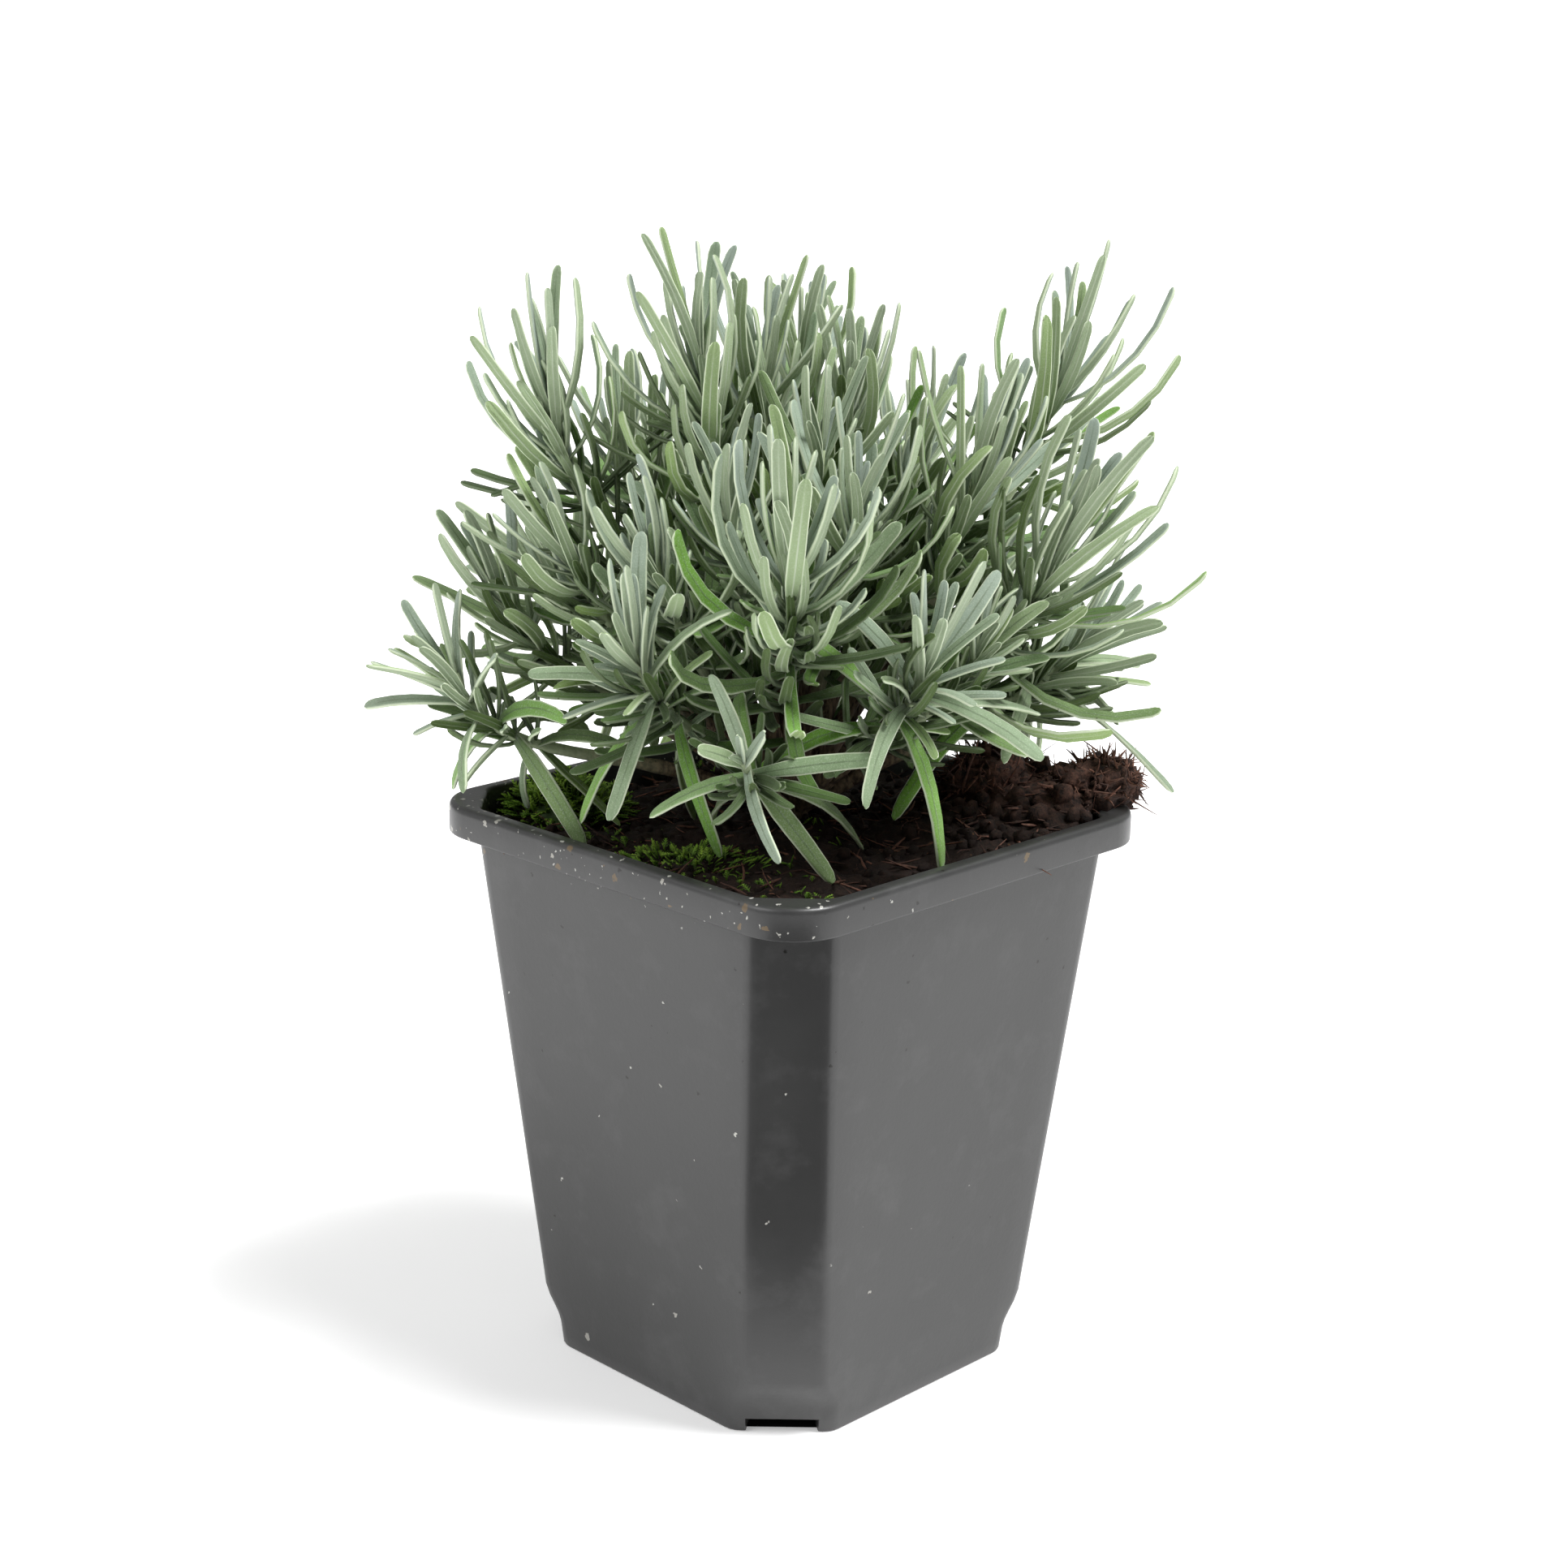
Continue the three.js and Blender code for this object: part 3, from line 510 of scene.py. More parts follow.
def stray_leaf(shoot, number, stem, rank):
    """An odd leaf anywhere along the shaded part of the stem."""
    for attempt in range(6):
        seed = 20000 + (number * STRAY_LEAVES + rank) * 6 + attempt
        at = 0.48 + 0.34 * chance(seed, 1)
        axis = stem.along(at)
        out = turned(unit(np.cross(axis, FRONT)), axis, 180 * chance(seed, 2))
        opened = 62 + 26 * chance(seed, 3)
        length = shoot[3] * (0.72 + 0.2 * chance(seed, 4)) * (1 - 0.08 * attempt)
        curl = 30 + 40 * chance(seed, 9)
        yield small_leaf(stem.at(at), axis, out, opened, curl, length, STRAY_AGE, seed)


def axil_leaf(leaf, rank):
    """A young leaf that opens less than the leaf whose axil it grows in, turned to one side of it."""
    seed = 9000 + leaf["seed"] * 2 + rank
    to_side = 1 if rank == 0 else -1
    base = leaf["base"] + leaf["axis"] * 0.8
    opened = math.degrees(leaf["open"]) * (0.55 + 0.12 * chance(seed, 1))
    curl = math.degrees(leaf["curl"]) * 0.6 + 10 * chance(seed, 3)
    for turn_by, share in ((30, 0.72), (44, 0.62), (22, 0.5), (58, 0.45), (36, 0.32)):
        out = turned(leaf["out"], leaf["axis"], to_side * (turn_by + 6 * chance(seed, 2)))
        length = leaf["length"] * share * (1 + 0.15 * chance(seed, 4))
        yield small_leaf(base, leaf["axis"], out, opened, curl, length, leaf["age"] * 0.5, seed)


# ---- Mesh helpers ----


def build_mesh(name, points, quads, tris=(), materials=(), uv=None, attributes=None, faces_of=None):
    """A mesh object from points in mm, with smooth faces; uv and attributes hold one value a point,
    and faces_of the material of each face, quads first."""
    quads = np.asarray(quads, np.int32).reshape(-1, 4)
    tris = np.asarray(tris, np.int32).reshape(-1, 3)
    mesh = bpy.data.meshes.new(name)
    mesh.vertices.add(len(points))
    mesh.vertices.foreach_set("co", (np.asarray(points) * MM).astype(np.float32).ravel())
    corners = np.concatenate([quads.ravel(), tris.ravel()])
    sizes = np.concatenate([np.full(len(quads), 4), np.full(len(tris), 3)])
    mesh.loops.add(len(corners))
    mesh.loops.foreach_set("vertex_index", corners)
    mesh.polygons.add(len(sizes))
    mesh.polygons.foreach_set("loop_start", np.concatenate([[0], np.cumsum(sizes)[:-1]]))
    mesh.polygons.foreach_set("use_smooth", np.ones(len(sizes), bool))
    if faces_of is not None:
        mesh.polygons.foreach_set("material_index", np.asarray(faces_of, np.int32))
    if uv is not None:
        mesh.uv_layers.new(name="along").data.foreach_set("uv", uv[corners].astype(np.float32).ravel())
    for key, values in (attributes or {}).items():
        mesh.attributes.new(key, "FLOAT", "POINT").data.foreach_set("value", values.astype(np.float32))
    mesh.update(calc_edges=True)
    mesh.validate()
    for material in materials:
        mesh.materials.append(material)
    piece = bpy.data.objects.new(name, mesh)
    bpy.context.scene.collection.objects.link(piece)
    return piece


def tube_faces(rings, around):
    """Quads between rings of points, and triangles that close both ends on a pole: the points are
    the rings in order, then the first pole, then the last."""
    ring = np.arange(rings - 1)[:, None] * around
    step = np.arange(around)
    after = (step + 1) % around
    quads = np.stack([ring + step, ring + after, ring + after + around, ring + step + around], -1)
    first, last = rings * around, rings * around + 1
    end = (rings - 1) * around
    tris = np.concatenate([
        np.stack([np.full(around, first), after, step], -1),
        np.stack([np.full(around, last), end + step, end + after], -1),
    ])
    return quads.reshape(-1, 4), tris


def tube_points(path, across, above, section):
    """A section (rings, around, 2) carried along a path, closed by its end points."""
    rings = path[:, None] + across[:, None] * section[..., :1] + above[:, None] * section[..., 1:]
    return np.concatenate([rings.reshape(-1, 3), path[:1], path[-1:]])


class Soup:
    """Many closed tubes collected for one mesh."""

    def __init__(self):
        self.points, self.quads, self.tris, self.uvs, self.values, self.kinds = [], [], [], [], [], []
        self.count = 0

    def add(self, points, quads, tris, uv=None, values=None, kind=0):
        self.points.append(points)
        self.quads.append(quads + self.count)
        self.tris.append(tris + self.count)
        self.uvs.append(np.zeros((len(points), 2)) if uv is None else uv)
        self.values.append(np.zeros((len(points), 3)) if values is None else values)
        self.kinds.append((len(quads), len(tris), kind))
        self.count += len(points)

    def piece(self, name, materials, keys=()):
        values = np.concatenate(self.values)
        faces_of = [np.full(quads, kind) for quads, _, kind in self.kinds]
        faces_of += [np.full(tris, kind) for _, tris, kind in self.kinds]
        return build_mesh(
            name, np.concatenate(self.points), np.concatenate(self.quads), np.concatenate(self.tris),
            materials, np.concatenate(self.uvs),
            {key: values[:, column] for column, key in enumerate(keys)}, np.concatenate(faces_of),
        )


def strand(soup, path, radii, around=5, values=None, kind=0):
    """A thin round strand along a path, with a radius for each of its points."""
    along = unit(np.gradient(path, axis=0))
    helper = np.where(np.abs(along[:, 2:]) < 0.9, UP, SIDE)
    across = unit(np.cross(along, helper))
    above = np.cross(across, along)
    angle = np.arange(around) * 2 * math.pi / around
    circle = np.stack([np.cos(angle), -np.sin(angle)], -1)
    section = np.asarray(radii)[:, None, None] * circle
    points = tube_points(path, across, above, section)
    quads, tris = tube_faces(len(path), around)
    share = np.repeat(np.linspace(0, 1, len(path)), around)
    uv = np.stack([np.zeros(len(points)), np.concatenate([share, [0, 1]])], -1)
    shown = None if values is None else np.tile(np.asarray(values, float), (len(points), 1))
    soup.add(points, quads, tris, uv, shown, kind)


# ---- Materials ----


def linear(hex_colour):
    """A linear colour from an sRGB hex value."""
    value = int(hex_colour.lstrip("#"), 16)
    parts = [(value >> shift & 255) / 255 for shift in (16, 8, 0)]
    return [c / 12.92 if c <= 0.04045 else ((c + 0.055) / 1.055) ** 2.4 for c in parts] + [1.0]


def add_node(tree, kind, inputs, output=0, **settings):
    """Adds a node with its settings, gives its inputs a value or the output that feeds them, and
    returns one of its outputs."""
    node = tree.nodes.new("ShaderNode" + kind)
    for key, value in settings.items():
        setattr(node, key, value)
    for key, value in inputs.items():
        if isinstance(value, bpy.types.NodeSocket):
            tree.links.new(value, node.inputs[key])
        else:
            node.inputs[key].default_value = value
    return node.outputs[output]


def new_material(name, **sockets):
    """A material with values on its shader's own sockets, and the function that adds its nodes."""
    material = bpy.data.materials.new(name)
    material.use_nodes = True
    shader = material.node_tree.nodes["Principled BSDF"]
    for key, value in sockets.items():
        shader.inputs[key.replace("_", " ")].default_value = value
    return material, shader.inputs, functools.partial(add_node, material.node_tree)


def feed(shader, **outputs):
    for key, output in outputs.items():
        output.node.id_data.links.new(output, shader[key.replace("_", " ")])


SMOOTH = {"interpolation_type": "SMOOTHSTEP"}
COLOUR = {"data_type": "RGBA"}


def leaf_felt():
    """Lavender leaf: soft green tissue under short white star-shaped hairs, matt with a silvery
    sheen; the hairs are thickest on young leaves, underneath and along the rolled margins, whose pale
    line is also a painted rim highlight. The sunken midrib is a darker line above, painted shade in
    its groove, and a pale rib below. Leaves high on the plant are painted lighter, as painted light
    from above. Older leaves are painted dark green at the foot, and the inner leaves of the bush dark
    green, both as painted shade."""
    material, shader, add = new_material(
        "lavender_leaf_felt", Roughness=0.72, Specular_IOR_Level=0.35,
        Sheen_Weight=0.25, Sheen_Roughness=0.45, Sheen_Tint=linear("#e6ece0"),
    )
    where = add("TexCoord", {}, "Object")
    leaf_map = add("UVMap", {}, uv_map="along")
    u = add("SeparateXYZ", {0: leaf_map})
    along = add("SeparateXYZ", {0: leaf_map}, 1)
    across = add("Math", {0: u, 1: 2.0, 2: -1.0}, operation="MULTIPLY_ADD")
    across = add("Math", {0: across}, operation="ABSOLUTE")
    age = add("Attribute", {}, "Fac", attribute_name="age")
    tint = add("Attribute", {}, "Fac", attribute_name="tint")
    upper = add("Attribute", {}, "Fac", attribute_name="upper")
    upper = add("MapRange", {0: upper, 1: 0.35, 2: 0.65}, **SMOOTH)

    # Painted light: leaves high on the plant are painted a lighter grey-green and those low down a darker
    # one, as light falls from above.
    high = add("MapRange", {0: add("SeparateXYZ", {0: where}, 2), 1: 0.125, 2: 0.165}, **SMOOTH)
    pale = add("Mix", {0: high, 6: linear("#8b9b88"), 7: linear("#a3b2a7")}, 2, **COLOUR)
    silvery = add("Mix", {0: tint, 6: pale, 7: linear("#94ac72")}, 2, **COLOUR)
    vivid = add("MapRange", {0: tint, 1: -0.35, 2: 0.65})
    green = add("Mix", {0: vivid, 6: linear("#6d8552"), 7: linear("#679a2c")}, 2, **COLOUR)
    tissue = add("Mix", {0: add("MapRange", {0: age, 1: 0.25, 2: 0.75}), 6: silvery, 7: green}, 2, **COLOUR)
    patches = add("TexNoise", {"Vector": where, "Scale": 1 / 0.004, "Detail": 3.0})
    patches = add("MapRange", {0: patches, 1: 0.35, 2: 0.75, 4: 0.3})
    tissue = add("Mix", {0: patches, 6: tissue, 7: linear("#5a7044")}, 2, **COLOUR)
    below = add("Mix", {0: age, 6: linear("#a3b396"), 7: linear("#86a25a")}, 2, **COLOUR)
    colour = add("Mix", {0: upper, 6: below, 7: tissue}, 2, **COLOUR)

    vein = add("MapRange", {0: across, 1: 0.16, 2: 0.03}, **SMOOTH)
    vein = add("Math", {0: vein, 1: add("MapRange", {0: along, 1: 1.0, 2: 0.7})}, operation="MULTIPLY")
    # Above, the midrib is painted as a darker line: painted shade in its sunken groove. Below, the pale rib
    # is its own colour.
    vein_colour = add("Mix", {0: upper, 6: linear("#c2cbb6"), 7: linear("#57694a")}, 2, **COLOUR)
    faint = add("Math", {0: vein, 1: 0.6}, operation="MULTIPLY")
    colour = add("Mix", {0: faint, 6: colour, 7: vein_colour}, 2, **COLOUR)
    # The pale margin is partly the dense hairs of the rolled edge and partly a painted rim highlight.
    margin = add("MapRange", {0: across, 1: 0.78, 2: 0.97, 4: 0.85}, **SMOOTH)
    colour = add("Mix", {0: margin, 6: colour, 7: linear("#d5dfc3")}, 2, **COLOUR)
    # Single hairs are finer than this noise, which stands for tufts of them.
    hairs = add("TexNoise", {"Vector": where, "Scale": 1 / 0.00025, "Detail": 2.0, "Roughness": 0.7})
    lit_hairs = add("MapRange", {0: hairs, 1: 0.5, 2: 0.72, 4: 0.25})
    colour = add("Mix", {0: lit_hairs, 6: colour, 7: linear("#cfd7c6")}, 2, **COLOUR)
    specks = add("TexVoronoi", {"Vector": where, "Scale": 1 / 0.0026})
    specks = add("MapRange", {0: specks, 1: 0.085, 2: 0.05})
    old = add("MapRange", {0: age, 1: 0.45, 2: 0.9, 4: 0.8})
    worn = add("Math", {0: specks, 1: old}, operation="MULTIPLY")
    colour = add("Mix", {0: worn, 6: colour, 7: linear("#443b2a")}, 2, **COLOUR)

    # Painted shade: older leaves are painted dark green towards their foot, where the crowded axils lie in
    # shade.
    foot = add("MapRange", {0: along, 1: 0.5, 2: 0.05, 4: 0.6})
    foot = add("Math", {0: foot, 1: age}, operation="MULTIPLY", use_clamp=True)
    colour = add("Mix", {0: foot, 6: colour, 7: linear("#3d5526")}, 2, **COLOUR)
    # Painted shade: the inner and stray leaves, whose age is above 1, are painted dark green as the shade
    # inside the bush.
    shaded = add("MapRange", {0: age, 1: 1.0, 2: 1.3, 4: 0.75})
    colour = add("Mix", {0: shaded, 6: colour, 7: linear("#33481f")}, 2, **COLOUR)

    relief = add("Math", {0: vein, 1: -0.8, 2: hairs}, operation="MULTIPLY_ADD")
    bump = add("Bump", {"Height": relief, "Distance": 0.00012, "Strength": 0.7})
    feed(shader, Base_Color=colour, Normal=bump)
    return material


def stem_bark():
    """Young lavender stem: pale felted green near its tip, grey-brown flaking bark lower down."""
    material, shader, add = new_material("lavender_stem_bark", Roughness=0.85)
    where = add("Mapping", {0: add("TexCoord", {}, "Object"), "Scale": (1, 1, 0.25)})
    age = add("Attribute", {}, "Fac", attribute_name="age")
    streaks = add("TexNoise", {"Vector": where, "Scale": 1 / 0.0007, "Detail": 4.0, "Roughness": 0.6})
    green = add("Mix", {0: streaks, 6: linear("#84936f"), 7: linear("#a5b190")}, 2, **COLOUR)
    wood = add("MapRange", {0: streaks, 1: 0.35, 2: 0.65})
    wood = add("Mix", {0: wood, 6: linear("#3f3022"), 7: linear("#7c6b54")}, 2, **COLOUR)
    colour = add("Mix", {0: add("MapRange", {0: age, 1: 0.45, 2: 0.85}), 6: green, 7: wood}, 2, **COLOUR)
    bump = add("Bump", {"Height": streaks, "Distance": 0.0003, "Strength": 0.8})
    feed(shader, Base_Color=colour, Normal=bump)
    return material


def splashes(add, where, colour, amount, size, radius, share, mark):
    """Spots of dried splash over a colour: one bent round spot in each cell of the given size, in
    metres, kept where a random number of its cell is under share times amount."""
    wander = add("TexNoise", {"Vector": where, "Scale": 1 / 0.0009, "Detail": 2.0}, "Color")
    bent = add("VectorMath", {0: wander, 1: (0.0014,) * 3, 2: where}, operation="MULTIPLY_ADD")
    shifted = add("VectorMath", {0: bent, 1: (size * 3.7, size * 1.3, size * 0.4)}, operation="ADD")
    reach = add("TexVoronoi", {"Vector": shifted, "Scale": 1 / size}, "Distance")
    cell = add("TexVoronoi", {"Vector": shifted, "Scale": 1 / size}, "Color")
    pick = add("SeparateColor", {0: cell})
    grown = add("SeparateColor", {0: cell}, 1)
    limit = add("Math", {0: amount, 1: share}, operation="MULTIPLY")
    kept = add("Math", {0: pick, 1: limit}, operation="LESS_THAN")
    edge = add("MapRange", {0: grown, 3: radius / size * 0.5, 4: radius / size * 1.3})
    dot = add("MapRange", {0: add("Math", {0: edge, 1: reach}, operation="SUBTRACT"), 1: 0.0, 2: 0.03})
    mask = add("Math", {0: dot, 1: kept}, operation="MULTIPLY")
    return add("Mix", {0: mask, 6: colour, 7: linear(mark)}, 2, **COLOUR)


def pot_plastic():
    """Injection-moulded recycled polypropylene, dark grey and half glossy, with faint flow marks;
    lime spots and soil specks left by watering are thickest under the rim."""
    material, shader, add = new_material("moulded_polypropylene", IOR=1.49)
    where = add("TexCoord", {}, "Object")
    height = add("SeparateXYZ", {0: where}, 2)
    flow = add("TexNoise", {"Vector": where, "Scale": 1 / 0.03, "Detail": 3.0, "Roughness": 0.55})
    grain = add("TexNoise", {"Vector": where, "Scale": 1 / 0.0009, "Detail": 3.0, "Roughness": 0.6})
    marks = add("MapRange", {0: flow, 1: 0.3, 2: 0.7})
    colour = add("Mix", {0: marks, 6: linear("#303030"), 7: linear("#373737")}, 2, **COLOUR)
    film = add("TexNoise", {"Vector": where, "Scale": 1 / 0.012, "Detail": 5.0, "Roughness": 0.65})
    film = add("MapRange", {0: film, 1: 0.52, 2: 0.75, 4: 0.16})
    colour = add("Mix", {0: film, 6: colour, 7: linear("#6f6f6f")}, 2, **COLOUR)
    rise = add("MapRange", {0: height, 1: 0.04, 2: 0.1, 3: 0.15, 4: 1.0}, **SMOOTH)
    by_rim = add("MapRange", {0: height, 1: 0.09, 2: 0.0985, 3: 0.06, 4: 3.2}, **SMOOTH)
    left = add("VectorMath", {0: where, 1: (-1.0, -1.0, 0.0)}, "Value", operation="DOT_PRODUCT")
    leftness = add("MapRange", {0: left, 1: -0.03, 2: 0.05, 3: 0.08, 4: 1.0}, **SMOOTH)
    crowd = add("TexNoise", {"Vector": where, "Scale": 1 / 0.014, "Detail": 2.0})
    crowd = add("MapRange", {0: crowd, 1: 0.35, 2: 0.68, 3: 0.25, 4: 1.5})
    crowd = add("Math", {0: crowd, 1: leftness}, operation="MULTIPLY")
    amount = add("Math", {0: by_rim, 1: crowd}, operation="MULTIPLY")
    colour = splashes(add, where, colour, amount, 0.0013, 0.00030, 0.2, "#a9a8a2")
    colour = splashes(add, where, colour, amount, 0.0030, 0.00055, 0.24, "#96948d")
    colour = splashes(add, where, colour, amount, 0.0041, 0.0008, 0.2, "#5f4f38")
    colour = splashes(add, where, colour, rise, 0.0036, 0.00034, 0.5, "#120f0c")
    colour = splashes(add, where, colour, rise, 0.0070, 0.00032, 0.6, "#a5a49f")
    rough = add("MapRange", {0: flow, 1: 0.3, 2: 0.7, 3: 0.33, 4: 0.4})
    rough = add("Math", {0: film, 1: 0.6, 2: rough}, operation="MULTIPLY_ADD")
    relief = add("Math", {0: flow, 1: 6.0, 2: grain}, operation="MULTIPLY_ADD")
    feed(
        shader, Base_Color=colour, Roughness=rough,
        Normal=add("Bump", {"Height": relief, "Distance": 0.00006, "Strength": 0.35}),
    )
    return material


def moist_peat():
    """Moist peat: very dark brown crumb with paler grains, redder where it stands above the rim and
    has dried."""
    material, shader, add = new_material("moist_peat", Specular_IOR_Level=0.3)
    where = add("TexCoord", {}, "Object")
    crumbs = add("TexNoise", {"Vector": where, "Scale": 1 / 0.0016, "Detail": 6.0, "Roughness": 0.7})
    broad = add("TexNoise", {"Vector": where, "Scale": 1 / 0.011, "Detail": 3.0})
    raised = add("MapRange", {0: crumbs, 1: 0.35, 2: 0.75})
    colour = add("Mix", {0: raised, 6: linear("#0f0a08"), 7: linear("#35241c")}, 2, **COLOUR)
    clumps = add("MapRange", {0: broad, 1: 0.45, 2: 0.75, 4: 0.5})
    colour = add("Mix", {0: clumps, 6: colour, 7: linear("#271914")}, 2, **COLOUR)
    grains = add("TexVoronoi", {"Vector": where, "Scale": 1 / 0.0031})
    grains = add("MapRange", {0: grains, 1: 0.1, 2: 0.06, 4: 0.5})
    colour = add("Mix", {0: grains, 6: colour, 7: linear("#6f5039")}, 2, **COLOUR)
    height = add("SeparateXYZ", {0: where}, 2)
    dry = add("MapRange", {0: height, 1: 0.098, 2: 0.105, 4: 0.75}, **SMOOTH)
    dry = add("Math", {0: dry, 1: add("MapRange", {0: crumbs, 1: 0.38, 2: 0.6})}, operation="MULTIPLY")
    colour = add("Mix", {0: dry, 6: colour, 7: linear("#5d4034")}, 2, **COLOUR)
    rough = add("MapRange", {0: broad, 1: 0.35, 2: 0.7, 3: 0.95, 4: 0.7})
    feed(
        shader, Base_Color=colour, Roughness=rough,
        Normal=add("Bump", {"Height": crumbs, "Distance": 0.0008, "Strength": 0.9}),
    )
    return material


def peat_fibre():
    """Dry brown fibres and bark shreds in the peat."""
    material, shader, add = new_material("peat_fibre", Roughness=0.85)
    tint = add("Attribute", {}, "Fac", attribute_name="tint")
    streaks = add("TexNoise", {"Vector": add("TexCoord", {}, "Object"), "Scale": 1 / 0.0006, "Detail": 3.0})
    colour = add("Mix", {0: tint, 6: linear("#33201a"), 7: linear("#7c5442")}, 2, **COLOUR)
    dark = add("MapRange", {0: streaks, 1: 0.4, 2: 0.7, 4: 0.6})
    colour = add("Mix", {0: dark, 6: colour, 7: linear("#1f130f")}, 2, **COLOUR)
    bump = add("Bump", {"Height": streaks, "Distance": 0.0003, "Strength": 0.6})
    feed(shader, Base_Color=colour, Normal=bump)
    return material


def feather_moss():
    """Moss: translucent bright green fronds, darker at the foot where they are packed."""
    material, shader, add = new_material("feather_moss", Roughness=0.6)
    tint = add("Attribute", {}, "Fac", attribute_name="tint")
    along = add("SeparateXYZ", {0: add("UVMap", {}, uv_map="along")}, 1)
    tip = add("Mix", {0: tint, 6: linear("#7aab2a"), 7: linear("#bde254")}, 2, **COLOUR)
    mottle = add("TexNoise", {"Vector": add("TexCoord", {}, "Object"), "Scale": 1 / 0.0004, "Detail": 2.0})
    colour = add("Mix", {0: along, 6: linear("#33500f"), 7: tip}, 2, **COLOUR)
    dark = add("MapRange", {0: mottle, 1: 0.4, 2: 0.7, 4: 0.4})
    colour = add("Mix", {0: dark, 6: colour, 7: linear("#38560f")}, 2, **COLOUR)
    bump = add("Bump", {"Height": mottle, "Distance": 0.0002, "Strength": 0.5})
    feed(shader, Base_Color=colour, Normal=bump)
    return material


# ---- The pot ----

FILLET = 1.6
SIDE_STEPS = np.linspace(-1, 1, 11)
QUARTER = 22  # columns of points in a quarter of the outline
NOTCH_HALF = 6.25
LIFTED = [15, 16, 17]  # the columns of a quarter that lie over the notch
ROOFED = [13, 14, 15, 16, 17, 18, 19]  # the ones over the notch and its walls
ROOF_TOP = NOTCH_HIGH + BASE_THICK


def all_quarters(x, y):
    """One quarter's outline repeated by quarter turns: (x, y), (-y, x), (-x, -y), (y, -x)."""
    return np.concatenate([np.stack(q, -1) for q in ((x, y), (-y, x), (-x, -y), (y, -x))])


def cut_outline(half, cut):
    """A square with its corners cut off flat: a side, a fillet as a quadratic curve about the point
    where side and cut meet, the cut, and the fillet mirrored."""
    start = half - cut
    slant = FILLET / math.sqrt(2)
    s = np.array([1 / 3, 2 / 3])
    bend_x = half * (1 - s * s) + (half - slant) * s * s
    bend_y = (start - FILLET) * (1 - s) ** 2 + 2 * start * s * (1 - s) + (start + slant) * s * s
    reach = cut / math.sqrt(2) - FILLET
    notch = min(NOTCH_HALF, reach * 0.9)
    along = np.array([-reach, -notch, -notch, 0, notch, notch, reach]) / math.sqrt(2)
    middle = half - cut / 2
    x = np.concatenate([np.full_like(SIDE_STEPS, half), bend_x, middle - along, bend_y[::-1]])
    y = np.concatenate([SIDE_STEPS * (start - FILLET), bend_y, middle + along, bend_x[::-1]])
    return all_quarters(x, y)


def round_outline(half, radius):
    """A square with round corners, with as many points as the cut one."""
    turn = np.arange(1, 12) * math.pi / 24
    x = np.concatenate([np.full_like(SIDE_STEPS, half), half - radius + radius * np.cos(turn)])
    y = np.concatenate([SIDE_STEPS * (half - radius), half - radius + radius * np.sin(turn)])
    return all_quarters(x, y)


def wall_outline(z, inset=0.0):
    """The tapered wall's outline at a height: the cut deepens from FOOT_BLEND down to FOOT_TOP."""
    cut = CORNER_CUT + (FOOT_CUT - CORNER_CUT) * (1 - smoothstep(z, FOOT_TOP, FOOT_BLEND))
    return cut_outline(BASE_HALF + DRAFT * z - inset, cut - inset * (2 - math.sqrt(2)))


def bowed(outline, z):
    """Moulded walls sink a little between the stiff corners and between foot and rim."""
    reach = np.abs(outline).max(1)
    flat = np.clip(1 - (np.abs(outline).min(1) / (0.8 * reach)) ** 2, 0, 1)
    return outline * (1 - 0.4 * flat * math.sin(math.pi * z / RIM_TOP) / reach)[:, None]


